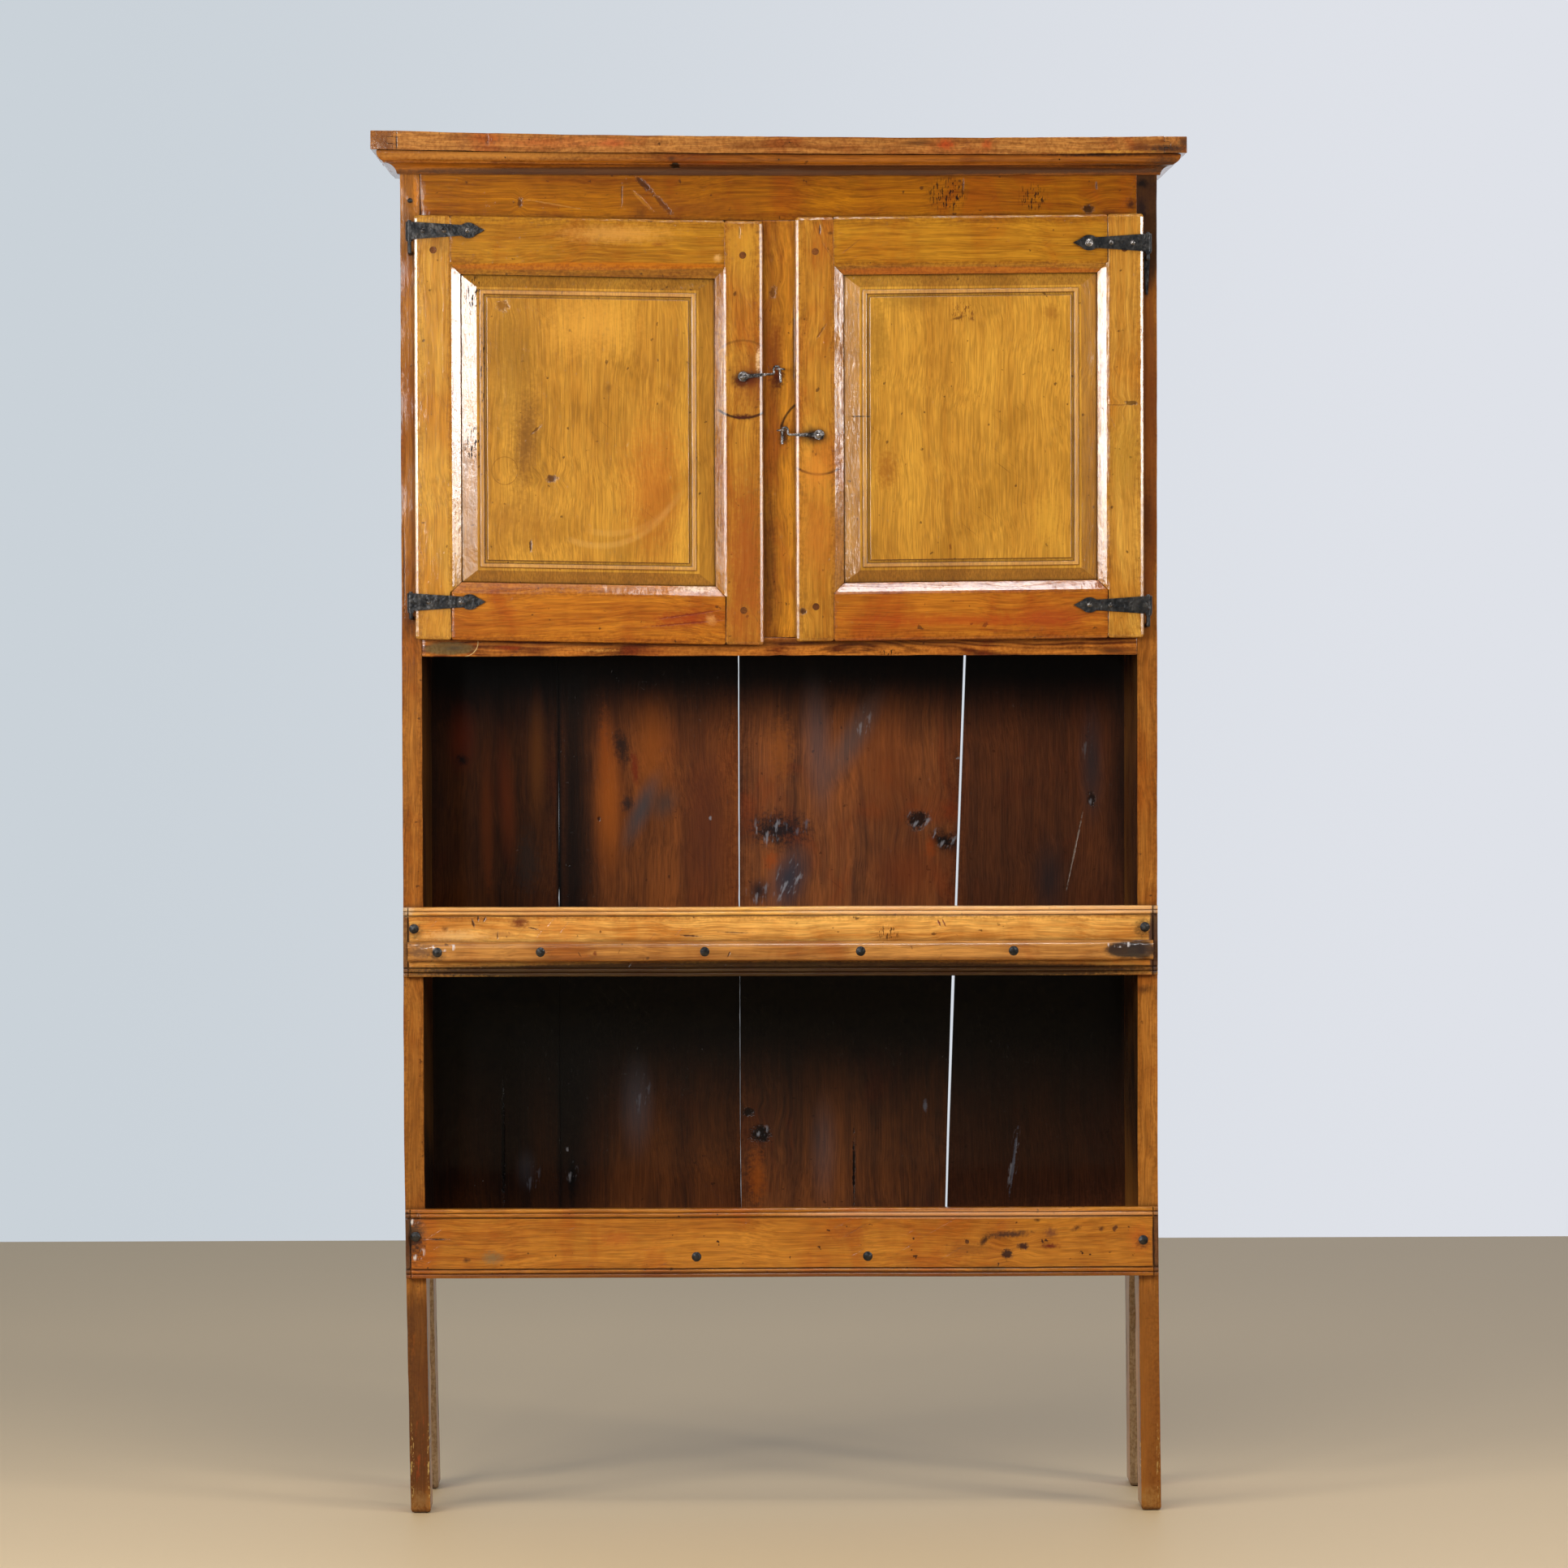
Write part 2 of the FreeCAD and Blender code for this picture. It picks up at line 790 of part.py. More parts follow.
def rail_bevel(door, w_flat, inward):
    """The wedge that bevels a rail's inner edge, along the sag of the rail."""
    w_end = w_flat + inward * (bevel_width + overrun)
    deep = bevel_depth * (bevel_width + overrun) / bevel_width
    corners = [
        door.at(0, w_flat, 0),
        door.at(0, w_flat, -overrun),
        door.at(0, w_end, -overrun),
        door.at(0, w_end, deep),
    ]
    return prism(corners, door.at(door_width, 0, 0) - door.at(0, 0, 0))


def stile(door, u_edge, u_flat, inward):
    """A stile, full height in its flat and mitred with the rails in its bevel."""
    lip = u_flat + inward * bevel_width
    high = door_height - rail_width
    outline = [(u_edge, 0), (u_flat, 0), (u_flat, rail_width), (lip, rail_width + bevel_width)]
    outline += [(lip, high - bevel_width), (u_flat, high), (u_flat, door_height), (u_edge, door_height)]
    piece = door.slab(outline, 0, door_thickness)
    tools = [stile_bevel(door, u_flat, inward), groove(door)] + door.pegs(joint_clearance) + door.bores()
    for w0 in (0, high):
        tools.append(tenon(door, u_flat, -inward, w0, joint_clearance))
    return cut_all(piece, tools)


def door_rail(door, upper):
    """A rail with a tenon at each end and a mitred bevel."""
    u0 = outer_stile_width
    u1 = door_width - meeting_stile_width
    w_edge = door_height if upper else 0
    inward = -1 if upper else 1
    w_flat = w_edge + inward * rail_width
    lip = w_flat + inward * bevel_width
    outline = [(u0, w_edge), (u1, w_edge), (u1, w_flat)]
    outline += [(u1 - bevel_width, lip), (u0 + bevel_width, lip), (u0, w_flat)]
    low = min(w_edge, w_flat)
    body = door.slab(outline, 0, door_thickness)
    body = cut_all(body, [rail_bevel(door, w_flat, inward), groove(door)])
    piece = fuse_all([body, tenon(door, u0, -1, low), tenon(door, u1, 1, low)])
    return cut_all(piece, door.pegs(joint_clearance) + door.bores())


def raised_panel(door):
    """A panel with sloped margins, a bead between two quirks and a flat field."""
    edge = panel_edge_front
    plate = panel_pocket(door, edge, edge + panel_edge_thickness, panel_play)
    u0 = outer_stile_width + bevel_width
    u1 = door_width - meeting_stile_width - bevel_width
    w0 = rail_width + bevel_width
    w1 = door_height - w0
    ground = edge - slope_rise
    rings = []
    for inset_u, inset_w, depth in ((0, 0, edge), (slope_side, slope_end, ground)):
        outline = rectangle(u0 + inset_u, u1 - inset_u, w0 + inset_w, w1 - inset_w)
        corners = [door.at(u, w, depth) for u, w in outline]
        rings.append(Part.makePolygon(corners + corners[:1]))
    slope = Part.makeLoft(rings, True, True)

    def raised(inset, rise):
        u_in, w_in = slope_side + inset, slope_end + inset
        outline = rectangle(u0 + u_in, u1 - u_in, w0 + w_in, w1 - w_in)
        return door.slab(outline, ground - rise, edge)

    quirk = (bead_band - bead_width) / 2
    bead = raised(quirk, bead_rise).cut(raised(quirk + bead_width, bead_rise + overrun))
    bead = rounded_front(bead, ground - bead_rise, bead_rise * (1 - quarter_share))
    field = rounded_front(raised(bead_band, field_rise), ground - field_rise, field_arris)
    return fuse_all([plate, slope, bead, field])


def rounded_front(shape, depth, radius):
    """Rounds every edge of a shape that lies in the door plane at a depth."""
    y = door_face + depth
    edges = [e for e in shape.Edges if all(abs(v.Point.y - y) < joint_clearance for v in e.Vertexes)]
    return shape.makeFillet(radius, edges)


# Strap hinges and their pintles


class Strap:
    def __init__(self, s, height, drop, nails_at, boss_at=None, tail=False):
        self.s = s
        self.height = height
        self.drop = drop
        self.nails_at = nails_at
        self.boss_at = boss_at
        self.tail = tail

    def on_face(self, along):
        x = self.s * (hinge_x - along)
        return Vector(x, door_face - strap_thickness, self.height)

    def nail_places(self):
        return [(self.on_face(along), inward_y) for along in self.nails_at]

    def boss_places(self):
        return [(self.on_face(self.boss_at), inward_y)] if self.boss_at else []

    def foot(self):
        """Where the pin turns into the spike, under the barrel."""
        low = self.height - strap_width / 2 - self.drop
        return Vector(self.s * hinge_x, hinge_y, low)


def strap_plate(strap):
    """The tapered plate with its spade end."""

    def at(along, half):
        return Vector(strap.s * (hinge_x - along), door_face - strap_thickness, strap.height + half)

    neck = strap_length * neck_share
    wide = strap_length * finial_share
    end = strap_length * finial_end_share
    end_half = finial_width / 2 * finial_end_width_share
    edges = [line(at(0, -strap_width / 2), at(0, strap_width / 2))]
    edges.append(line(at(0, strap_width / 2), at(neck, neck_width / 2)))
    edges.append(arc(at(neck, neck_width / 2), at(wide, finial_width / 2), at(end, end_half)))
    edges.append(line(at(end, end_half), at(strap_length, 0)))
    edges.append(line(at(strap_length, 0), at(end, -end_half)))
    edges.append(arc(at(end, -end_half), at(wide, -finial_width / 2), at(neck, -neck_width / 2)))
    edges.append(line(at(neck, -neck_width / 2), at(0, -strap_width / 2)))
    return Part.Face(Part.Wire(edges)).extrude(Vector(0, strap_thickness, 0))


def hinge_strap(strap):
    low = strap.height - strap_width / 2
    centre = Vector(strap.s * hinge_x, hinge_y, low)
    barrel = Part.makeCylinder(barrel_radius, strap_width, centre)
    piece = fuse_all([strap_plate(strap), barrel])
    start = centre - Vector(0, 0, overrun)
    bore = Part.makeCylinder(pin_radius + pin_clearance, strap_width + 2 * overrun, start)
    places = strap.nail_places() + strap.boss_places()
    return cut_all(piece, [bore] + nail_holes(places, strap_nail))


def spike(strap, clearance=0):
    """The arm and tapering spike that hold a pintle in the side."""
    foot = strap.foot()
    arm = front - foot.y
    straight = Part.makeCylinder(pin_radius + clearance, arm, foot, inward_y)
    wood = Vector(foot.x, front, foot.z)
    tip = spike_tip_radius + clearance
    taper = Part.makeCone(pin_radius + clearance, tip, spike_length + clearance, wood, inward_y)
    return fuse_all([straight, taper])


def spike_bore(strap):
    return spike(strap, joint_clearance)


def pintle(strap):
    """The pin, its collar under the barrel, and the spike."""
    foot = strap.foot()
    top = strap.height + strap_width / 2 + pin_stand
    pin = Part.makeCylinder(pin_radius, top - foot.z, foot)
    knee = Part.makeSphere(pin_radius, foot)
    collar_low = strap.height - strap_width / 2 - collar_gap - collar_height
    collar = Part.makeCylinder(collar_radius, collar_height, Vector(foot.x, foot.y, collar_low))
    pieces = [pin, knee, collar, spike(strap)]
    if strap.tail:
        pieces.append(pintle_tail(foot))
    return fuse_all(pieces)


def pintle_tail(foot):
    """A tapering plate down the front edge of the side, under the spike."""

    def at(half, z):
        return Vector(foot.x + half, front - tail_thickness, foot.z + z)

    half = tail_width / 2
    tip = tail_tip_width / 2
    corners = [at(-half, half), at(half, half), at(tip, -tail_length), at(-tip, -tail_length)]
    return prism(corners, Vector(0, tail_thickness, 0))


# Hook latches


class Latch:
    def __init__(self, door, tilt):
        self.door = door
        self.tilt = math.radians(tilt)

    def at(self, along, up, y=hook_plane):
        """A place given along the hook's bar and above it."""
        pivot = self.door.pivot()
        a = along * math.cos(self.tilt) - up * math.sin(self.tilt)
        b = along * math.sin(self.tilt) + up * math.cos(self.tilt)
        return Vector(pivot.x - self.door.s * a, y, pivot.z + b)

    def eye(self):
        """The middle of the eye's ring, whose near side lies in the neck."""
        neck = self.at(hook_reach - hook_neck_radius, hook_neck_height - hook_neck_radius)
        return Vector(neck.x - self.door.s * eye_radius, hook_plane, neck.z)


def hook(latch):
    """A flat boss and tapered root, then round wire bent over the eye."""
    pivot = latch.door.pivot()
    near = hook_plane - wire_radius
    boss = Part.makeCylinder(hook_boss_radius, 2 * wire_radius, Vector(pivot.x, near, pivot.z), inward_y)
    corners = [latch.at(0, -hook_root_half, near), latch.at(hook_taper_length, -wire_radius, near)]
    corners += [latch.at(hook_taper_length, wire_radius, near), latch.at(0, hook_root_half, near)]
    root = prism(corners, Vector(0, 2 * wire_radius, 0))
    rise = hook_reach - 2 * hook_neck_radius
    bend = hook_bend_radius
    spring = hook_neck_height - hook_neck_radius
    start = hook_taper_length - hook_boss_radius
    bend_middle = latch.at(rise - bend * quarter_share, bend * quarter_share)
    crest = latch.at(rise + hook_neck_radius, hook_neck_height)
    path = Part.Wire([
        line(latch.at(start, 0), latch.at(rise - bend, 0)),
        arc(latch.at(rise - bend, 0), bend_middle, latch.at(rise, bend)),
        line(latch.at(rise, bend), latch.at(rise, spring)),
        arc(latch.at(rise, spring), crest, latch.at(hook_reach, spring)),
        line(latch.at(hook_reach, spring), latch.at(hook_reach, -hook_tip_drop)),
    ])
    along = latch.at(rise, 0) - latch.at(0, 0)
    section = Part.Wire([Part.makeCircle(wire_radius, latch.at(start, 0), along)])
    wire = path.makePipeShell([section], True, True)
    piece = fuse_all([boss, root, wire])
    start = Vector(pivot.x, near - overrun, pivot.z)
    bore = Part.makeCylinder(pivot_radius + pivot_clearance, 2 * (wire_radius + overrun), start, inward_y)
    return piece.cut(bore)


def hook_pivot(latch):
    """The nail on which a hook turns, its head clear of the hook."""
    pivot = latch.door.pivot()
    face = hook_plane - wire_radius - collar_gap
    length = door_face - face + pivot_depth
    head = Vector(pivot.x, face, pivot.z)
    return nail(head, inward_y, length, pivot_radius, pivot_head_radius, pivot_head_height)


def latch_eye(latch):
    """A ring lying level on a shank driven into the muntin."""
    centre = latch.eye()
    ring = Part.makeTorus(eye_radius, eye_wire_radius, centre)
    start = Vector(centre.x, centre.y + eye_radius, centre.z)
    length = front - start.y + eye_depth
    return fuse_all([ring, Part.makeCylinder(eye_shank_radius, length, start, inward_y)])


def eye_bore(latch):
    centre = latch.eye()
    start = Vector(centre.x, front - overrun, centre.z)
    length = overrun + eye_depth + joint_clearance
    return Part.makeCylinder(eye_shank_radius + joint_clearance, length, start, inward_y)


left_straps = (
    Strap(-1, door_top - upper_left_inset, upper_left_drop, strap_nails_upper_left),
    Strap(-1, door_bottom + lower_left_inset, lower_left_drop, strap_nails_lower_left),
)
right_straps = (
    Strap(
        1,
        door_top - upper_right_inset,
        upper_right_drop,
        strap_nails_upper_right,
        strap_boss_upper_right,
        True,
    ),
    Strap(1, door_bottom + lower_right_inset, lower_right_drop, strap_nails_lower_right),
)
hinges = left_straps + right_straps
left_door = Door(-1, left_door_sag, left_straps, left_hook_inset, left_hook_rise)
right_door = Door(1, right_door_sag, right_straps, right_hook_inset, right_hook_rise)
left_latch = Latch(left_door, left_hook_tilt)
right_latch = Latch(right_door, right_hook_tilt)
latches = (left_latch, right_latch)


def save_door(name, door, latch):
    far_flat = door_width - meeting_stile_width
    save(name + "_outer_stile", stile(door, 0, outer_stile_width, 1))
    save(name + "_meeting_stile", stile(door, door_width, far_flat, -1))
    save(name + "_top_rail", door_rail(door, True))
    save(name + "_bottom_rail", door_rail(door, False))
    save(name + "_panel", raised_panel(door))
    save(name + "_pegs", Part.makeCompound(door.pegs()))
    upper, lower = door.straps
    save(name + "_upper_strap", hinge_strap(upper))
    save(name + "_lower_strap", hinge_strap(lower))
    heads = nails(door.nail_places(), strap_nail)
    heads += [nail(head, into, strap_nail, head_radius=boss_nail_radius) for head, into in door.boss_places()]
    save(name + "_strap_nails", Part.makeCompound(heads))
    save(name + "_hook_pivot", hook_pivot(latch))


def save_carcase():
    save("left_side", side(-1))
    save("right_side", side(1))
    save("top_board", top_board())
    save("top_batten_left", top_batten(-1))
    save("top_batten_right", top_batten(1))
    save("cornice_front", cornice_front())
    save("cornice_left", cornice_return(-1))
    save("cornice_right", cornice_return(1))
    save("frieze_rail", frieze_rail())
    save("centre_muntin", centre_muntin())
    upper = shelf(upper_shelf_top)
    save("upper_shelf", upper.cut(muntin_tenon_at(upper_shelf_top, joint_clearance)))
    save("middle_shelf", shelf(middle_shelf_top))
    save("lower_shelf", shelf(lower_shelf_top))
    save("middle_rail", middle_rail())
    save("middle_rail_strip", middle_rail_strip())
    save("lower_rail", lower_rail())
    for number, (left, right) in enumerate(plank_edges(), 1):
        save("back_plank_" + str(number), back_plank(left, right))


def save_nails():
    save("middle_rail_nails", Part.makeCompound(rail_nails(middle_rail_places, rail_nail)))
    save("strip_nails", Part.makeCompound(rail_nails(strip_places, strip_nail)))
    save("lower_rail_nails", Part.makeCompound(rail_nails(lower_end_places + lower_shelf_places, rail_nail)))
    save("side_edge_nail", Part.makeCompound(nails(edge_place, long_nail)))
    save("top_nails", Part.makeCompound(nails(top_places, long_nail)))
    save("side_nails", Part.makeCompound(nails(side_places, long_nail)))
    save("back_nails", Part.makeCompound(nails(back_places, long_nail)))
    brads = [brad(head, into) for head, into in front_brad_places + return_brad_places]
    save("cornice_brads", Part.makeCompound(brads))


def save_latches():
    save("left_upper_pintle", pintle(left_straps[0]))
    save("left_lower_pintle", pintle(left_straps[1]))
    save("right_upper_pintle", pintle(right_straps[0]))
    save("right_lower_pintle", pintle(right_straps[1]))
    save("upper_latch_eye", latch_eye(left_latch))
    save("lower_latch_eye", latch_eye(right_latch))
    save("left_hook", hook(left_latch))
    save("right_hook", hook(right_latch))


os.makedirs("parts", exist_ok=True)
save_carcase()
save_nails()
save_latches()
save_door("left_door", left_door, left_latch)
save_door("right_door", right_door, right_latch)
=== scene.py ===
import json
import math
from dataclasses import dataclass
from functools import partial

import bmesh
import bpy
from mathutils import Matrix, Vector, noise


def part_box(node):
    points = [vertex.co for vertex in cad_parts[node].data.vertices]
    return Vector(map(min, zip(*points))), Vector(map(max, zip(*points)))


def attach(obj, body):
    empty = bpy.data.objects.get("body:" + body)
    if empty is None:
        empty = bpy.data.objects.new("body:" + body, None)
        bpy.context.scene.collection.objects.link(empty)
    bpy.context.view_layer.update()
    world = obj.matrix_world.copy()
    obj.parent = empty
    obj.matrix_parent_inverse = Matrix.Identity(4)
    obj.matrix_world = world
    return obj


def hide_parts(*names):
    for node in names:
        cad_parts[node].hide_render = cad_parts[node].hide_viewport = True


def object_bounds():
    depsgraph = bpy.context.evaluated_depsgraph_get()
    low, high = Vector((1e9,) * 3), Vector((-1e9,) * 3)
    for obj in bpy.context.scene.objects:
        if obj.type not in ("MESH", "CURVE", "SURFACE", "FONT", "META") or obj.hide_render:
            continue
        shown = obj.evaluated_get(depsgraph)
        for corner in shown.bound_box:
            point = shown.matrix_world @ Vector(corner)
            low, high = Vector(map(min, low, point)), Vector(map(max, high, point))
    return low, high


# The looks of a rustic court cupboard. Metres, +Z up, front towards -Y.

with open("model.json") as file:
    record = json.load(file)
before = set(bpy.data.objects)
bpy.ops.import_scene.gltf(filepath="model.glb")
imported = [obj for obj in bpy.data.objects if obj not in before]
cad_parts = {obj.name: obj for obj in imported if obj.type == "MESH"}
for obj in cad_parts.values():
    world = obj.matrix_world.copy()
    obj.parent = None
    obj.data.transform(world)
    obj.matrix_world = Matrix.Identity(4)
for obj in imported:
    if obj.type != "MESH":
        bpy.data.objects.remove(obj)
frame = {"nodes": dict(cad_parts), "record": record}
cad_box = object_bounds()
box_low, box_high = (Vector(corner) for corner in cad_box)
nodes = frame["nodes"]
body_of = {n: b for b, names in frame["record"]["behaviour"]["bodies"].items() for n in names}
slot_of = {p["node"]: p["material_slot"] for p in frame["record"]["subparts"]}

front_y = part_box("left_side")[0].y
inner_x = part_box("right_side")[0].x
back_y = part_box("back_plank_1")[1].y
lowest_shelf_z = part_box("lower_shelf")[0].z
door_face_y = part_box("left_door_outer_stile")[0].y

# Camera

picture_size = 1932
focal_pixels = 8142
sensor_width = 36.0
camera_place = Vector((-0.084, -8.7315, 1.187))
camera_aim = Vector((0.005, front_y, 0.951))
camera_roll = math.radians(-0.15)


def make_camera():
    data = bpy.data.cameras.new("camera")
    data.sensor_width = sensor_width
    data.lens = sensor_width * focal_pixels / picture_size
    camera = bpy.data.objects.new("camera", data)
    look = (camera_aim - camera_place).to_track_quat("-Z", "Y").to_matrix().to_4x4()
    camera.matrix_world = Matrix.Translation(camera_place) @ look @ Matrix.Rotation(camera_roll, 4, "Z")
    bpy.context.scene.collection.objects.link(camera)
    bpy.context.scene.camera = camera
    return camera.matrix_world.to_3x3()


camera_turn = make_camera()


def seen(pixel, depth):
    """The place (x, z) that shows at a pixel of the photograph, on an upright plane at a depth (y)."""
    middle = picture_size / 2
    ray = camera_turn @ Vector(((pixel[0] - middle) / focal_pixels, (middle - pixel[1]) / focal_pixels, -1))
    hit = camera_place + ray * ((depth - camera_place.y) / ray.y)
    return hit.x, hit.z


# Mesh making

rounding, facet = 1, 2
weld = 2e-6
crest_reach = 0.0002
ground_reach = 1e-5

# The least angles (degrees) of edges that are rounded, of those beside facets, and of blunt ones,
# the most that a blunt one may be, and the least lengths of sharp and blunt ones
sharp_from, square_from, blunt_from, blunt_to = 28, 50, 20, 40
worn_length, arris_length = 0.008, 0.1

still = Vector((0, 0, 0))

# Scales of noise, for every metre, and the seed that makes it the same each run
slow_wave, quick_wave, broad_nibble, fine_nibble, dent_grain = 4, 17, 21, 55, 120
noise.seed_set(5)


def sharp_edges(bm, least_angle, least_length):
    """The outward edges that are sharp enough (degrees) and long enough to be rounded."""
    found = []
    for edge in bm.edges:
        if len(edge.link_faces) != 2 or edge.calc_length() < least_length:
            continue
        if edge.is_convex and edge.calc_face_angle() > math.radians(least_angle):
            found.append(edge)
    return found


def wear_edges(bm, kinds, edge, segments, soft, arris):
    """Rounds the edges, and notes on each new face whether it is a rounding or a facet."""

    def wear(edges, radius, segments, kind):
        made = bmesh.ops.bevel(bm, geom=edges, offset=radius, offset_type="OFFSET", segments=segments,
                               profile=0.5, affect="EDGES", clamp_overlap=True)
        for face in made["faces"]:
            face[kinds] = kind

    if soft:
        radius, accepts = soft
        edges = sharp_edges(bm, sharp_from, worn_length)
        wear([e for e in edges if accepts((e.verts[0].co + e.verts[1].co) / 2)], radius, 2, facet)
    if arris:
        blunt = [e for e in sharp_edges(bm, blunt_from, arris_length)
                 if e.calc_face_angle() < math.radians(blunt_to)
                 and not any(face[kinds] for face in e.link_faces)]
        wear(blunt, arris, 1, facet)
    wear(sharp_edges(bm, square_from if soft else sharp_from, worn_length), edge, segments, rounding)


def sliced(bm, axis, step):
    """Cuts the mesh into slices of about one step along an axis."""
    values = [v.co[axis] for v in bm.verts]
    low, high = min(values), max(values)
    count = max(1, round((high - low) / step))
    normal = Vector((0, 0, 0))
    normal[axis] = 1
    for i in range(1, count):
        point = Vector((0, 0, 0))
        point[axis] = low + (high - low) * i / count
        geometry = bm.verts[:] + bm.edges[:] + bm.faces[:]
        bmesh.ops.bisect_plane(bm, geom=geometry, dist=1e-6, plane_co=point, plane_no=normal)


def uneven(v, kind, offset, warp, wear):
    """How far a point is off its true place: a slow wave, a quick one, and nibbles in a worn edge."""
    point = v.co + offset
    shift = noise.noise_vector(point * slow_wave) * warp
    shift += noise.noise_vector(point * quick_wave) * warp * 0.4
    if kind:
        nibble = noise.noise(point * fine_nibble) * 0.7 + noise.noise(point * broad_nibble) * 0.8
        shift -= v.normal * max(0.0, nibble) * wear / kind
    return shift


def knocked(v, offset, place, reach, depth):
    """How far a dent about a place (x, z) moves a point of the front."""
    away = math.hypot(v.co.x - place[0], v.co.z - place[1]) / reach
    if away >= 1 or v.normal.y >= 0.3:
        return still
    rough = 0.6 + 0.8 * noise.noise((v.co + offset) * dent_grain)
    return v.normal * -depth * rough * (1 - away * away)


def worked(node, edge, steps, warp, wear=0.0, seed=0, segments=2, crisp=25, soft=None, arris=0.0,
           dents=(), bends=(), crest=None):
    """A hand-worked copy of a CAD node: its edges rounded and worn, its faces a little uneven.

    soft is a larger radius and a test for the edges that take it, in two flat facets. arris is the
    half width of the facet that takes the place of a blunt edge. dents are places (x, z) with a
    reach and a depth, where the front is knocked in. bends give each point a further shift. crest
    is the depth (y) of a bead's worn top, painted pale by its material: wear and a painted highlight."""
    bm = bmesh.new()
    bm.from_mesh(nodes[node].data)
    bmesh.ops.remove_doubles(bm, verts=bm.verts, dist=weld)
    bmesh.ops.dissolve_limit(bm, angle_limit=math.radians(1), verts=bm.verts, edges=bm.edges)
    kinds = bm.faces.layers.int.new("worn")
    if edge:
        wear_edges(bm, kinds, edge, segments, soft, arris)
    for axis, step in enumerate(steps):
        if step:
            sliced(bm, axis, step)
    bm.normal_update()
    offset = Vector((seed * 3.7, seed * 1.3, seed * 2.1))
    worn_value = bm.verts.layers.float.new("wear")
    places = []
    for v in bm.verts:
        kind = max(face[kinds] for face in v.link_faces)
        shift = uneven(v, kind, offset, warp, wear)
        for dent in dents:
            shift += knocked(v, offset, *dent)
        for bend in bends:
            shift += bend(v.co)
        crowned = crest is not None and abs(v.co.y - crest) < crest_reach
        v[worn_value] = 1.0 if kind or crowned else 0.0
        place = v.co + shift
        for axis in range(3):
            place[axis] = min(max(place[axis], box_low[axis]), box_high[axis])
        if v.co.z < box_low.z + ground_reach:
            place.z = v.co.z
        places.append(place)
    for v, place in zip(bm.verts, places):
        v.co = place
    bm.normal_update()
    for face in bm.faces:
        face.smooth = True
    for e in bm.edges:
        sides = [face[kinds] for face in e.link_faces]
        least = math.radians(70 if rounding in sides and facet not in sides else crisp)
        e.smooth = len(e.link_faces) == 2 and e.calc_face_angle(math.pi) < least
    mesh = bpy.data.meshes.new(node + "_worked")
    bm.to_mesh(mesh)
    bm.free()
    piece = bpy.data.objects.new(node + "_worked", mesh)
    bpy.context.scene.collection.objects.link(piece)
    piece.modifiers.new("normals", "WEIGHTED_NORMAL").keep_sharp = True
    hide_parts(node)
    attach(piece, body_of[node])
    return piece


def finish_with(piece, material):
    piece.data.materials.clear()
    piece.data.materials.append(material)


# Materials


class Shader:
    """Builds one material. Its calls take and give sockets."""

    def __init__(self, name):
        self.material = bpy.data.materials.new(name)
        self.material.use_nodes = True
        self.tree = self.material.node_tree
        self.tree.nodes.clear()

    def node(self, kind, settings=None, **inputs):
        made = self.tree.nodes.new("ShaderNode" + kind)
        for key, value in (settings or {}).items():
            setattr(made, key, value)
        for key, value in inputs.items():
            self.feed(made.inputs[key.replace("_", " ")], value)
        return made

    def feed(self, socket, value):
        if isinstance(value, bpy.types.NodeSocket):
            self.tree.links.new(value, socket)
        else:
            socket.default_value = value

    def finished(self, made):
        """The material, with a node's shader as its surface."""
        self.node("OutputMaterial", Surface=made.outputs[0])
        return self.material

    def math(self, operation, a, b=0.0, clamp=False):
        made = self.node("Math", {"operation": operation, "use_clamp": clamp})
        self.feed(made.inputs[0], a)
        self.feed(made.inputs[1], b)
        return made.outputs[0]

    def times(self, product, *factors):
        for factor in factors:
            product = self.math("MULTIPLY", product, factor)
        return product

    def total(self, *parts):
        """The sum of pairs of a socket and its weight."""
        added = None
        for value, weight in parts:
            term = self.times(value, weight)
            added = term if added is None else self.math("ADD", added, term)
        return added

    def vector(self, operation, a, b=(0, 0, 0)):
        made = self.node("VectorMath", {"operation": operation})
        self.feed(made.inputs[0], a)
        self.feed(made.inputs["Scale" if operation == "SCALE" else 1], b)
        return made.outputs["Value" if operation in ("LENGTH", "DOT_PRODUCT") else "Vector"]

    def mix(self, factor, a, b, blend="MIX"):
        made = self.node("Mix", {"data_type": "RGBA", "blend_type": blend, "clamp_factor": True})
        for i, value in ((0, factor), (6, a), (7, b)):
            self.feed(made.inputs[i], value)
        return made.outputs[2]

    def tinted(self, colour, tint):
        return self.mix(1.0, colour, tint, "MULTIPLY")

    def noise(self, vector, detail=3.0, roughness=0.55, distortion=0.0):
        return self.node("TexNoise", Vector=vector, Scale=1.0, Detail=detail, Roughness=roughness,
                         Distortion=distortion).outputs["Fac"]

    def ramp(self, value, low, high, to_low=0.0, to_high=1.0):
        made = self.node("MapRange", {"interpolation_type": "SMOOTHSTEP"}, Value=value, From_Min=low,
                         From_Max=high, To_Min=to_low, To_Max=to_high)
        return made.outputs[0]

    def grey(self, value):
        return self.node("CombineColor", Red=value, Green=value, Blue=value).outputs[0]

    def coordinates(self, kind):
        return self.node("TexCoord").outputs[kind]

    def split(self, vector):
        return self.node("SeparateXYZ", Vector=vector).outputs

    def bump(self, height, strength, distance):
        return self.node("Bump", Height=height, Strength=strength, Distance=distance).outputs[0]

    def placed(self, vector, centre, size, angle=0.0):
        """Coordinates about a centre, turned by an angle and divided by a size."""
        made = self.node("Mapping", {"vector_type": "TEXTURE"}, Vector=vector, Location=centre,
                         Rotation=(0, -math.radians(angle), 0), Scale=size)
        return made.outputs[0]


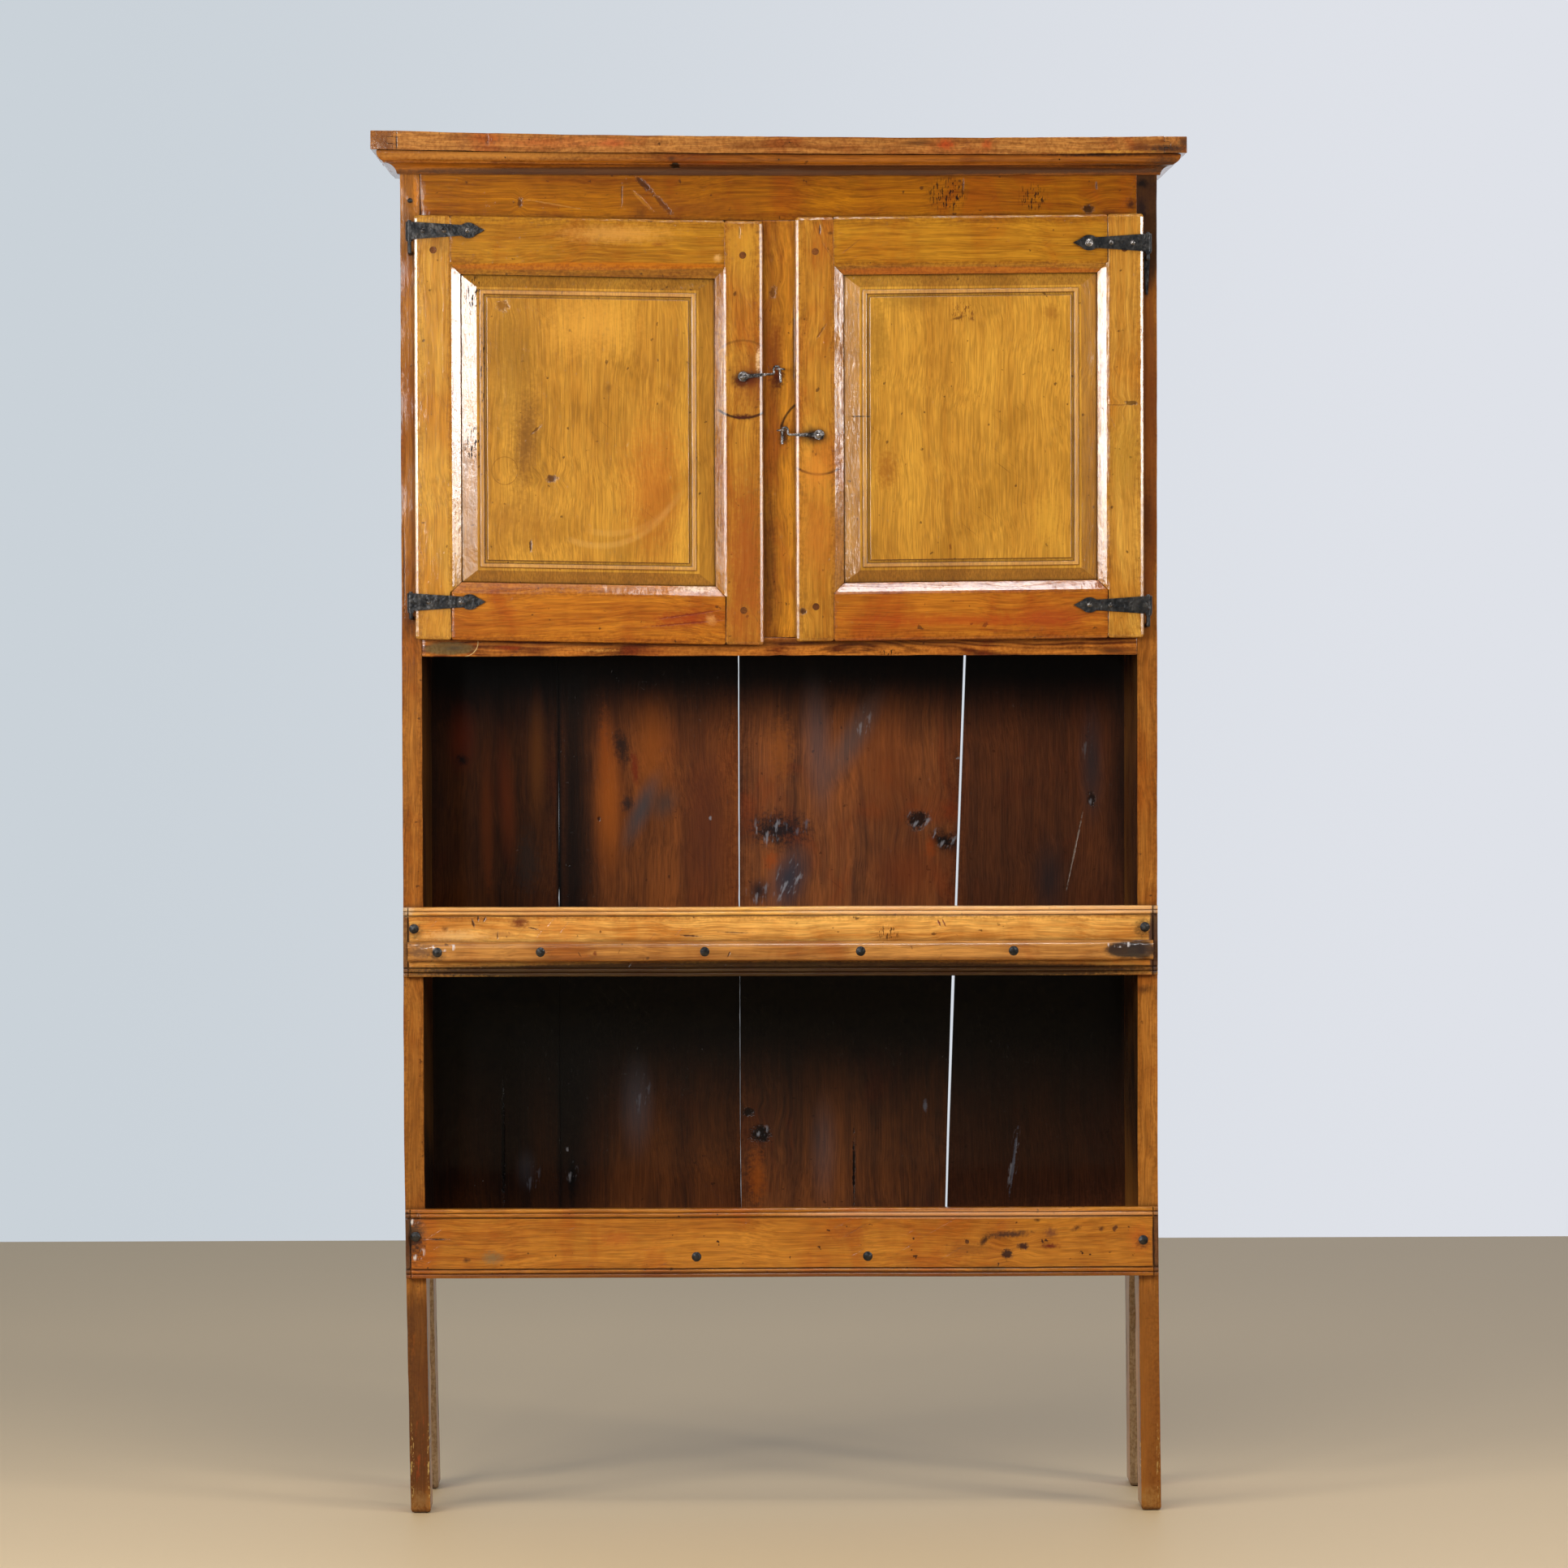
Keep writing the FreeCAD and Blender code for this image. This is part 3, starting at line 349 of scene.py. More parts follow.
def rgb(red, green, blue):
    """A display colour out of 255 as the linear colour that a socket takes."""

    def linear(value):
        share = value / 255
        return share / 12.92 if share <= 0.04045 else ((share + 0.055) / 1.055) ** 2.4

    return (linear(red), linear(green), linear(blue), 1.0)


pixel = 0.001056
soot = (26, 15, 10)
umber = (66, 34, 14)
rust_red = (140, 54, 16)
pale_wear = (226, 178, 112)
# Painted sheen and painted glints on the back planks, which also colour a pale scratch
painted_sheen_and_scratch_grey = (96, 96, 104)
painted_glint_and_scratch_grey = (146, 144, 148)
# Painted reflection: the grey that the fronts of the hind feet take
hind_reflection_grey = (140, 120, 92)
# Wear and a painted highlight on the crest of a panel's bead
crest_wear_and_highlight = (222, 176, 140)
# Dirt and painted shade in corners and crevices
corner_dirt_and_shade = (44, 22, 10)
# Painted shade: the dark browns of the faces inside the carcase
interior_shade_brown = rgb(36, 21, 13)
interior_shade = tuple(part * 0.55 for part in interior_shade_brown[:3]) + (1.0,)
grime = (0.62, 0.52, 0.42, 1)

# Painted shade: how much darker the margins of a panel are where they face up, down and aside
margin_shade_tones = ((0.62, 0.58, 0.46), (0.56, 0.47, 0.30), (0.72, 0.66, 0.60))


@dataclass
class Mark:
    """A mark on the front of a board, placed and sized in pixels of the photograph.

    width and height are from its middle, before it is turned by an angle (degrees, up from the
    right). An arc has its radius there, and a span of angles. A fall spreads only downward, over
    its height."""

    kind: str
    x: float
    y: float
    width: float
    height: float
    strength: float = 0.85
    colour: tuple = umber
    angle: float = 0
    span: tuple = (0, 360)

    # Where each kind ends and starts to fade, as shares of its size, and how much noise breaks it
    edges = {"stain": (1.15, 0.1), "knot": (1.1, 0.5), "line": (1.05, 0.45), "tint": (1.4, 0.0),
             "band": (1.1, 0.7), "shade": (1.0, 0.0)}
    broken_by = {"band": 0.3, "shade": 0.0}

    # How fine the strokes are across and along, and how sharply they start
    strokes = {"scribble": (430, 120, 0.60), "glint": (150, 55, 0.68)}

    def spot(self, s, place, board, reach=1.0):
        x, z = seen((self.x, self.y), board.front)
        size = (self.width * pixel * reach, board.behind * reach, self.height * pixel * reach)
        return s.placed(place, (x, board.front, z), size, self.angle)

    def mask(self, s, place, board, rough):
        """Where the mark is, from 0 to 1. rough is a fine noise that breaks its edge."""
        at = self.spot(s, place, board)
        distance = s.vector("LENGTH", at)
        if self.kind == "arc":
            shape = self.curve(s, at, distance, rough)
        elif self.kind in self.strokes:
            across, along, sharp = self.strokes[self.kind]
            fine = (across * (self.width * pixel), 0, along * (self.height * pixel))
            drawn = s.noise(s.vector("MULTIPLY", at, fine), 2)
            shape = s.times(s.ramp(distance, 1.1, 0.6), s.ramp(drawn, 0.54, sharp))
        elif self.kind == "fall":
            down = s.vector("DOT_PRODUCT", at, (0, 0, -1))
            back = s.vector("DOT_PRODUCT", at, (0, 1, 0))
            shape = s.times(s.ramp(down, -0.05, 0.0), s.ramp(down, 1.0, 0.26), s.ramp(back, 1.3, 1.0))
        else:
            amount = self.broken_by.get(self.kind, 1.5)
            broken = s.math("ADD", distance, s.times(s.math("SUBTRACT", rough, 0.5), amount))
            shape = s.ramp(broken, *self.edges[self.kind])
        return s.times(shape, self.strength)

    def curve(self, s, at, distance, rough):
        """A thin line along the unit circle, within its span of angles."""
        middle = math.radians(sum(self.span) / 2)
        ends = math.cos(math.radians((self.span[1] - self.span[0]) / 2))
        off = s.math("ABSOLUTE", s.math("SUBTRACT", distance, 1))
        drawn = s.ramp(s.math("ADD", off, s.times(rough, 0.03)), 0.065, 0.025)
        toward = s.vector("DOT_PRODUCT", at, (math.cos(middle), 0, math.sin(middle)))
        return s.times(drawn, s.ramp(s.math("DIVIDE", toward, distance), ends - 0.05, ends + 0.05))


@dataclass
class Wood:
    """How one board looks: the axis of its grain, its light, dark and warm tones, and the rest.

    steps are the slices that its mesh is cut into. behind is how deep its marks go."""

    grain: int
    tones: tuple
    seed: int
    steps: tuple = ()
    contrast: float = 1.0
    streak: float = 0.6
    coat: float = 0.8
    crevice_dirt_and_shade: float = 0.75
    specks: float = 0.7
    flame: float = 0.0
    behind: float = 0.15
    interior: bool = False
    margins: bool = False
    marks: tuple = ()

    blotch = 0.45
    roughness = 0.45
    relief = 0.3
    scratches = 0.4

    def material(self, name, front):
        """The look of a board whose front stands at a depth (y)."""
        self.front = front
        s = Shader(name)
        place = s.coordinates("Object")
        shifted = s.vector("ADD", place, (self.seed * 1.7, self.seed * 0.9, self.seed * 2.3))
        flowing = self.flow(s, place, shifted)

        def stretched(wide, long):
            scale = [wide, wide, wide]
            scale[self.grain] = long
            return s.vector("MULTIPLY", flowing, scale)

        broad = s.noise(stretched(20, 1.6), 2, 0.5, 0.3)
        streak = s.noise(stretched(190, 5), 4, 0.66)
        fine = s.noise(stretched(620, 26), 2, 0.6)
        cloud = s.noise(s.vector("MULTIPLY", shifted, (13, 13, 8)), 4, 0.6, 0.5)
        rough = s.noise(s.vector("SCALE", shifted, 230), 3, 0.6)

        tone = s.total((s.ramp(broad, 0.32, 0.68), 0.5), (s.ramp(streak, 0.30, 0.70), self.streak),
                       (s.ramp(cloud, 0.32, 0.68), 0.35))
        if self.flame:
            waves = s.math("SINE", s.times(s.noise(stretched(20, 1.6), 1, 0.4, 0.6), 90))
            tone = s.math("ADD", tone, s.times(waves, self.flame))
        tone = s.math("ADD", s.times(tone, self.contrast), 0.5 - 0.72 * self.contrast, clamp=True)
        light, dark, warm = (rgb(*part) for part in self.tones)
        colour = s.mix(tone, light, dark)
        colour = s.mix(s.times(s.ramp(cloud, 0.5, 0.68), self.blotch), colour, warm)
        fibres = s.grey(s.ramp(fine, 0.32, 0.70, 1.12, 0.74))
        colour = s.tinted(colour, fibres)
        if self.interior:
            colour = self.inside(s, place, broad, fibres, colour)
        if self.margins:
            colour = self.shaded_by_facing(s, colour)

        speck = s.noise(s.vector("SCALE", shifted, 105), 2, 0.5)
        colour = s.mix(s.times(s.ramp(speck, 0.70, 0.76), self.specks), colour, rgb(*umber))
        scratch = self.scratch(s, shifted, cloud)
        colour = s.mix(scratch, colour, rgb(*umber))
        sunk = s.times(scratch, 0.5)
        coat = self.coat
        for mark in self.marks:
            mask = mark.mask(s, place, self, rough)
            colour = s.mix(mask, colour, rgb(*mark.colour))
            if mark.kind in ("knot", "line"):
                sunk = s.math("MAXIMUM", sunk, mask)
            if mark.kind == "scribble":
                coat = s.math("SUBTRACT", coat, mask, clamp=True)

        worn = s.node("Attribute", {"attribute_name": "wear"}).outputs["Fac"]
        # On a panel, the crest of its bead turns pale: wear and a painted highlight
        if self.margins:
            colour = s.mix(s.times(worn, 0.16), colour, rgb(*crest_wear_and_highlight))
        else:
            grimy = s.times(worn, s.ramp(rough, 0.42, 0.6, 0.15, 0.75))
            colour = s.mix(grimy, colour, s.tinted(colour, grime))
        # Dirt and painted shade: darker where ambient occlusion finds corners, quirks and joints
        hidden = s.node("AmbientOcclusion", {"samples": 6}, Distance=0.010).outputs["AO"]
        colour = s.mix(s.times(s.ramp(hidden, 0.8, 0.35), self.crevice_dirt_and_shade), colour, rgb(*corner_dirt_and_shade))

        height = s.total((streak, 0.5), (fine, 0.25), (rough, 0.15), (sunk, -1.2))
        ripple = s.noise(s.vector("MULTIPLY", shifted, (40, 40, 26)), 3, 0.55)
        pitted = s.ramp(rough, 0.66, 0.74)
        film = s.total((ripple, 0.8), (rough, 0.10), (streak, 0.18), (sunk, -1.0), (pitted, -0.25))
        shine = s.math("ADD", s.times(cloud, 0.16), self.roughness - 0.08)
        return s.finished(s.node("BsdfPrincipled", Base_Color=colour, Roughness=shine,
                                 Specular_IOR_Level=0.08, Normal=s.bump(height, self.relief, 0.0015),
                                 Coat_Weight=coat, Coat_Roughness=0.10,
                                 Coat_Normal=s.bump(film, self.relief, 0.0022)))

    def flow(self, s, place, shifted):
        """The coordinates of the grain, which wanders a little and turns aside at knots."""
        across = [1.0, 1.0, 1.0]
        across[self.grain] = 0.0
        wander = s.math("SUBTRACT", s.noise(s.vector("SCALE", shifted, 4.5), 2), 0.5)
        flowing = s.vector("ADD", shifted, s.vector("SCALE", across, s.times(wander, 0.035)))
        for mark in self.marks:
            if mark.kind == "knot":
                at = mark.spot(s, place, self, reach=3.5)
                pull = s.ramp(s.vector("LENGTH", at), 1.0, 0.0, 0.0, 0.02)
                flowing = s.vector("ADD", flowing, s.vector("SCALE", at, pull))
        return flowing

    def inside(self, s, place, broad, fibres, colour):
        """Browner faces between the sides above the lowest shelf, a painted shade, and greyer fronts of the
        hind feet, a painted reflection.
        """
        x, y, z = s.split(place)
        within = s.times(s.ramp(s.math("ABSOLUTE", x), inner_x + 0.001, inner_x - 0.0005),
                         s.ramp(y, front_y + 0.001, front_y + 0.006),
                         s.ramp(y, back_y - 0.004, back_y - 0.008),
                         s.ramp(z, lowest_shelf_z - 0.002, lowest_shelf_z))
        # Painted shade: faces inside the carcase turn dark brown
        brown = s.mix(s.ramp(broad, 0.35, 0.65), interior_shade_brown, interior_shade)
        colour = s.mix(within, colour, s.tinted(brown, fibres))
        facing = s.split(s.coordinates("Normal"))
        # Painted reflection: the fronts of the hind feet turn grey
        hind = s.times(s.ramp(facing[1], -0.5, -0.8), s.ramp(y, 0.02, 0.05),
                       s.ramp(z, lowest_shelf_z, lowest_shelf_z - 0.002, 0.0, 0.85))
        return s.mix(hind, colour, s.tinted(rgb(*hind_reflection_grey), fibres))

    def shaded_by_facing(self, s, colour):
        """Painted shade: margins that are darker than the field, each by the way that it faces."""
        x, _, z = s.split(s.coordinates("Normal"))
        for value, tint in zip((z, s.times(z, -1), s.math("ABSOLUTE", x)), margin_shade_tones):
            colour = s.mix(s.ramp(value, 0.12, 0.2), colour, s.tinted(colour, tint + (1,)))
        return colour

    def scratch(self, s, shifted, cloud):
        """Thin dark scratches that run a little askew of the grain."""
        turn = math.radians(24 + 7 * (self.seed % 5))
        turned = s.node("Mapping", {"vector_type": "POINT"}, Vector=shifted, Rotation=(0, turn, 0))
        scale = [700.0, 700.0, 700.0]
        scale[self.grain] = 14.0
        lines = s.noise(s.vector("MULTIPLY", turned.outputs[0], scale), 1, 0.5)
        return s.times(s.ramp(lines, 0.70, 0.76), s.ramp(cloud, 0.5, 0.62), self.scratches)


def iron(name, dark, light, smooth):
    """Blackened, hand-forged iron with a little rust in its hollows."""
    s = Shader(name)
    place = s.coordinates("Object")
    pits = s.noise(s.vector("SCALE", place, 420), 4, 0.6)
    patch = s.noise(s.vector("SCALE", place, 90), 3)
    beaten = s.noise(s.vector("SCALE", place, 130), 1)
    colour = s.mix(s.ramp(patch, 0.35, 0.7), dark, light)
    colour = s.mix(s.ramp(pits, 0.62, 0.75), colour, rgb(80, 48, 28))
    relief = s.bump(s.total((beaten, 1.0), (pits, 0.3)), 0.9, 0.002)
    shine = s.ramp(pits, 0.3, 0.7, smooth, smooth + 0.2)
    return s.finished(s.node("BsdfPrincipled", Base_Color=colour, Metallic=0.8, Roughness=shine,
                             Normal=relief))


# Marks on the carcase, each with its place (two numbers), its size (two), its strength and its colour

stain, knot, line, tint, band, arc, scribble, shade, glint, fall = (
    partial(Mark, kind)
    for kind in ("stain", "knot", "line", "tint", "band", "arc", "scribble", "shade", "glint", "fall"))
# Painted shadows: the back planks fade from near-black downward below the shelf and rail above each bay
bay_top_shadows = [
    fall(960, 790, 1000, 150, 0.985, (5, 3, 2)),
    fall(960, 1180, 1000, 330, 0.985, (5, 3, 2)),
]


# Painted shade over the lower bay of a back plank
def low_shade(strength):
    return band(960, 1370, 900, 160, strength, (10, 6, 5))


carcase_marks = {
    "left_side": [
        band(515, 1720, 40, 148, 0.8, (72, 34, 10)),
        glint(512, 1640, 11, 110, 0.5, (130, 72, 22)),
        glint(518, 1790, 9, 60, 0.55, (150, 62, 18)),
        scribble(508, 1800, 2.5, 66, 0.75, (196, 164, 96)),
        scribble(529, 1800, 3, 60, 0.75, (196, 164, 96)),
        stain(516, 1850, 16, 16, 0.5, (150, 112, 62)),
        stain(502, 275, 10, 46, 0.5, umber),
        line(512, 238, 3.5, 24, 0.7, (196, 120, 40)),
        stain(506, 247, 3.5, 4, 0.9, soot),
        line(498, 700, 1.5, 60, 0.7),
        shade(510, 1400, 30, 170, 0.5, (96, 50, 12)),
        stain(504, 760, 9, 30, 0.5, soot),
    ],
    "right_side": [
        band(1412, 1720, 40, 148, 0.7, (128, 74, 22)),
        stain(1416, 1848, 18, 20, 0.5, (160, 118, 60)),
        band(1411, 274, 26, 92, 0.88, (38, 23, 15)),
        stain(1408, 226, 9, 8, 0.9, (14, 9, 8)),
        stain(1407, 258, 8, 22, 0.8, (26, 16, 16)),
        line(1398, 237, 1.2, 18, 0.8, (206, 150, 96)),
        scribble(1404, 1800, 2.5, 60, 0.6, (190, 158, 90)),
        scribble(1427, 1800, 2.5, 60, 0.6, (190, 158, 90)),
        band(1414, 560, 12, 240, 0.7, (120, 62, 24)),
        stain(1414, 640, 9, 60, 0.6, umber),
        stain(1409, 1219, 16, 7, 0.7, umber),
    ],
    "frieze_rail": [
        line(794, 228, 17, 4.5, 0.85, umber, -46),
        line(817, 252, 19, 4.0, 0.85, umber, -47),
        line(792, 248, 21, 3.0, 0.45, (190, 126, 34), -45),
        stain(789, 262, 9, 7, 0.6),
        line(766, 240, 1.5, 14, 0.6),
        knot(640.5, 250, 3.5, 7, 0.8, umber, -10),
        line(685, 252, 42, 1.2, 0.25, (204, 146, 60), -10),
        scribble(1167, 240, 26, 24, 0.95, soot),
        scribble(1272, 243, 19, 19, 0.9, soot),
        knot(1340, 258, 8, 7, 0.85, soot),
        stain(1394, 251, 8, 9, 0.85, (46, 22, 14)),
        stain(1366, 261, 14, 5, 0.7, (96, 44, 12)),
        line(1351, 228, 1.3, 7, 0.8),
        line(1187, 228, 1.3, 8, 0.7),
        tint(850, 256, 90, 16, 0.5, (120, 62, 12)),
    ],
    "cornice_front": [
        # Painted shade in the cove of the cornice
        band(960, 209, 560, 6.5, 0.85, (56, 34, 26)),
        stain(1350, 191, 80, 2.4, 0.9, (34, 18, 14)),
        stain(1380, 203, 60, 2.4, 0.8, (44, 24, 16)),
        stain(1436, 202, 26, 14, 0.7, (48, 26, 16)),
        knot(832, 203, 7, 3.5, 1.0, (6, 4, 3)),
        tint(610, 190, 190, 8, 0.8, (190, 126, 50)),
        stain(828, 195, 6, 4, 0.8),
        stain(880, 200, 22, 3, 0.5, rust_red),
    ],
    "top_board": [
        stain(757, 176, 30, 8, 0.6, (178, 84, 40)),
        stain(606, 170, 20, 7, 0.7, (170, 88, 30)),
        line(600, 172, 3, 8, 0.5),
        stain(1165, 178, 14, 9, 0.75, (168, 58, 18)),
        stain(1216, 178, 7, 9, 0.6, (170, 62, 20)),
        stain(1130, 176, 24, 4, 0.7),
        stain(1436, 183, 34, 7, 0.9, (44, 28, 24)),
        stain(1404, 181, 18, 7, 0.8, (90, 46, 24)),
        stain(1459, 176, 8, 10, 0.8, (62, 42, 30)),
        stain(1360, 187, 80, 2, 0.6, (196, 140, 50)),
        line(1320, 168.5, 140, 1.2, 0.55, (226, 176, 130)),
        stain(474, 176, 17, 16, 0.7, (104, 66, 40)),
        line(488.5, 176, 1.2, 14, 0.85, soot),
        stain(680, 176, 90, 8, 0.35, (186, 92, 42)),
    ],
    "centre_muntin": [
        arc(1008.75, 536.3, 47, 47, 0.85, soot, span=(112, 172)),
        # Dirt and painted shadow of the hooks: dark halos about them
        stain(958, 466, 11, 18, 0.95, soot),
        stain(966, 537, 9, 16, 0.9, soot),
        stain(955, 440, 14, 60, 0.55, (120, 46, 12)),
        knot(952, 360, 5, 9, 0.6),
        line(978, 420, 1.5, 60, 0.6),
        tint(948, 690, 9, 120, 0.6, umber),
        line(958, 787, 26, 1.5, 0.8, soot),
    ],
    "upper_shelf": [
        band(554, 799, 34, 9, 0.9, (112, 92, 52)),
        stain(560, 799, 18, 4, 0.7, (78, 66, 48)),
        arc(571, 791, 18, 18, 0.9, (220, 190, 130), span=(-85, 5)),
        stain(625, 798, 22, 4, 0.8, rust_red),
        stain(735, 801, 30, 2.5, 0.7, (216, 150, 66)),
        scribble(1095, 804, 16, 4, 0.9, soot),
        stain(1372, 802, 26, 4, 0.8, umber),
        tint(960, 793, 450, 4, 0.6, umber),
    ],
    "middle_rail": [
        # Painted shadow under the strip, with some grime: the dark band along the foot of the rail
        band(960, 1196, 560, 13, 0.95, (27, 9, 3)),
        line(583, 1138, 1.8, 7, 0.9, umber, 14),
        line(589, 1132, 1.4, 4, 0.9),
        line(597, 1133, 1.6, 5, 0.9, umber, -24),
        stain(640, 1136, 14, 9, 0.9, (104, 44, 20)),
        stain(618, 1151, 22, 6, 0.6, (156, 98, 48)),
        stain(548, 1145, 5, 4, 0.8, (90, 48, 22)),
        line(613, 1153, 1.2, 5, 0.8),
        line(657, 1144, 8, 1.2, 0.9, umber, -12),
        stain(560, 1153, 50, 9, 0.6, pale_wear),
        line(850, 1153, 18, 1.3, 0.9, umber, -3),
        line(905, 1149, 26, 0.9, 0.7, umber, -2),
        scribble(1094, 1149, 16, 11, 0.85),
        line(1157, 1137, 1.6, 6, 0.9, (110, 30, 10), 25),
        line(1163, 1137, 1.3, 6, 0.8, (110, 30, 10), 25),
        stain(512, 1147, 11, 13, 0.7, soot),
        stain(1409, 1143, 15, 15, 0.8, soot),
        band(499, 1160, 6.5, 50, 0.8, (104, 70, 44)),
        stain(502, 1122, 10, 8, 0.6, (214, 190, 156)),
        band(1422, 1158, 7, 50, 0.9, (66, 46, 40)),
        # Painted highlights: pale bands along the beads at the top of the rail
        band(1210, 1121, 270, 8, 0.5, (240, 188, 138)),
        band(700, 1122, 220, 6, 0.35, (236, 184, 120)),
    ],
    "middle_rail_strip": [
        stain(518, 1172, 20, 13, 0.85, (108, 76, 52)),
        stain(538, 1178, 13, 9, 0.6, soot),
        # Painted highlight: pale glints on the left end of the strip
        glint(549, 1168, 21, 5, 0.9, (216, 208, 204)),
        band(1388, 1170, 28, 11, 0.95, (44, 35, 32)),
        band(1406, 1170, 19, 13, 0.9, (50, 40, 36)),
        # Painted highlight: pale glints on the right end of the strip
        glint(1381, 1164, 19, 4, 0.95, (222, 214, 210)),
        line(898, 1176, 1.3, 5, 0.8, umber, -30),
        line(714, 1176, 1.0, 5, 0.6, umber, 35),
        stain(733, 1175, 4, 3.5, 0.9, (110, 52, 24)),
        band(960, 1186, 480, 3, 0.6, (104, 56, 24)),
    ],
    "lower_rail": [
        band(502, 1532, 6, 48, 0.85, (84, 54, 34)),
        stain(512, 1524, 14, 38, 0.9, (46, 32, 26)),
        # Painted highlights: pale glints on the damaged left end
        glint(509, 1500, 9, 10, 0.9, (222, 216, 208)),
        glint(513, 1544, 12, 10, 0.85, (214, 204, 196)),
        band(1425, 1531, 6, 48, 0.85, (92, 58, 36)),
        stain(1405, 1526, 18, 22, 0.55, (184, 88, 22)),
        stain(1408, 1530, 11, 11, 0.7, soot),
        stain(1326, 1513, 9, 3.5, 0.85, (70, 34, 18), 20),
        stain(1357, 1514, 4, 4, 0.85, (70, 34, 18)),
        line(1374, 1513, 3, 5.5, 0.85, (70, 34, 18), -35),
        stain(1278, 1503, 5, 3, 0.8),
        stain(1222, 1564, 28, 5, 0.75, (112, 78, 34)),
        # Painted highlight: a pale band along the top beads
        band(1200, 1496, 250, 6, 0.45, (234, 172, 118)),
        line(538, 1527, 17, 1.3, 0.9, soot),
        stain(575, 1553, 6, 3.5, 0.8),
        stain(607, 1550, 17, 10, 0.75, (124, 100, 62)),
        stain(1242, 1521, 36, 6, 0.9, (56, 32, 24), 4),
        stain(1212, 1529, 11, 5, 0.95, (44, 22, 14), 50),
        knot(1241, 1545, 8, 7, 0.95, (42, 18, 16)),
        knot(1261, 1535.5, 8, 5, 0.95, (50, 20, 16)),
        stain(1294, 1535, 13, 4.5, 0.95, (96, 30, 14)),
        stain(1295, 1519, 10, 8, 0.75, (96, 50, 34)),
        stain(1195, 1538, 40, 12, 0.45, (120, 66, 22)),
        stain(760, 1526, 30, 12, 0.4, (160, 70, 22)),
        stain(1045, 1520, 30, 14, 0.4, (130, 60, 20)),
        # Painted shade along the bottom beads
        band(963, 1570, 500, 5, 0.7, (88, 42, 16)),
    ],
    "back_plank_1": [
        *bay_top_shadows,
        low_shade(0.62),
        # Painted shade along the plank beside the left side
        shade(534, 960, 24, 190, 0.7, (20, 17, 17)),
        shade(570, 910, 26, 60, 0.85, (96, 34, 12)),
        stain(569, 936, 9, 9, 0.9, (14, 12, 14)),
        shade(600, 1010, 14, 130, 0.75, (112, 52, 14)),
        shade(624, 985, 16, 120, 0.75, (116, 50, 16), 3),
        shade(662, 935, 17, 110, 0.8, (112, 62, 20)),
        stain(602, 1070, 6, 44, 0.7, (104, 48, 14)),
        stain(650, 1060, 20, 50, 0.6, (50, 40, 34)),
        # Painted shade in the seam between the first two planks
        shade(689.5, 1100, 6, 900, 1.0, (6, 5, 5)),
        line(620, 1412, 2.6, 90, 0.95, (6, 4, 4)),
        # Painted sheen: a grey patch and grey strokes
        shade(648, 1440, 18, 34, 0.15, painted_sheen_and_scratch_grey),
        glint(655, 1448, 13, 22, 0.5, painted_sheen_and_scratch_grey),
    ],
    "back_plank_2": [
        *bay_top_shadows,
        low_shade(0.5),
        # Painted shade along the left of the plank and in its seam
        shade(706, 1000, 42, 900, 0.92, (16, 10, 7)),
        shade(689.5, 1100, 6, 900, 1.0, (6, 5, 5)),
        shade(750, 990, 26, 140, 0.65, (178, 90, 20)),
        stain(745, 925, 9, 60, 0.6, (150, 72, 16)),
        shade(803, 925, 32, 90, 0.6, (158, 82, 22)),
        stain(766, 920, 12, 28, 0.9, (40, 26, 20), 14),
        stain(782, 945, 6, 26, 0.7, (116, 34, 12), 6),
        # Painted sheen: grey patches
        shade(790, 998, 19, 70, 0.9, (70, 64, 64), -24),
        shade(818, 990, 24, 32, 0.7, (64, 54, 50), -30),
        stain(773, 990, 10, 12, 0.8, (36, 30, 30)),
        shade(868, 1010, 46, 150, 0.6, (92, 44, 24)),
        # Painted glint
        line(875, 1008, 2, 3, 0.7, painted_glint_and_scratch_grey),
        line(738, 1009, 3, 4, 0.8, (40, 12, 8)),
        stain(705, 1450, 7, 42, 0.9, (6, 4, 4)),
        # Painted sheen and glints in the lower bay, with painted shade over its left
        shade(784, 1362, 30, 84, 0.24, painted_sheen_and_scratch_grey),
        shade(690, 1330, 120, 420, 0.9, (6, 4, 4)),
        glint(790, 1345, 14, 30, 0.4, painted_sheen_and_scratch_grey),
        line(699, 1416, 2.6, 3.5, 0.8, painted_glint_and_scratch_grey),
        glint(704, 1442, 9, 16, 0.5, painted_glint_and_scratch_grey),
    ],
    "back_plank_3": [
        *bay_top_shadows,
        low_shade(0.35),
        stain(962, 925, 20, 50, 0.55, (150, 82, 30)),
        shade(1092, 950, 60, 120, 0.5, (140, 72, 28)),
        shade(1120, 1075, 70, 60, 0.6, (122, 54, 22)),
        # Painted sheen and glints: bluish-grey patches and pale grey strokes
        shade(935, 1098, 20, 24, 0.9, (30, 28, 32)),
        glint(934, 1098, 16, 18, 0.5, painted_glint_and_scratch_grey),
        shade(1008, 920, 28, 120, 0.6, (70, 66, 70), 4),
        shade(1048, 915, 26, 95, 0.6, (76, 70, 70), -30),
        glint(1062, 888, 14, 22, 0.45, painted_glint_and_scratch_grey),
        stain(958, 1022, 48, 28, 0.95, (26, 22, 24)),
        glint(947, 1022, 22, 22, 0.6, painted_glint_and_scratch_grey),
        glint(984, 1018, 20, 12, 0.6, painted_sheen_and_scratch_grey),
        shade(972, 1082, 34, 60, 0.95, (50, 50, 58), -20),
        glint(972, 1084, 18, 34, 0.65, painted_glint_and_scratch_grey, -20),
        stain(950, 1060, 12, 14, 0.7, (150, 66, 20)),
        # Painted glints on the knots
        knot(1131, 1010, 16, 14, 0.9, (16, 12, 12)),
        glint(1133, 1010, 17, 13, 0.75, painted_glint_and_scratch_grey, -30),
        stain(1163, 1036, 26, 16, 0.95, (14, 11, 12), -20),
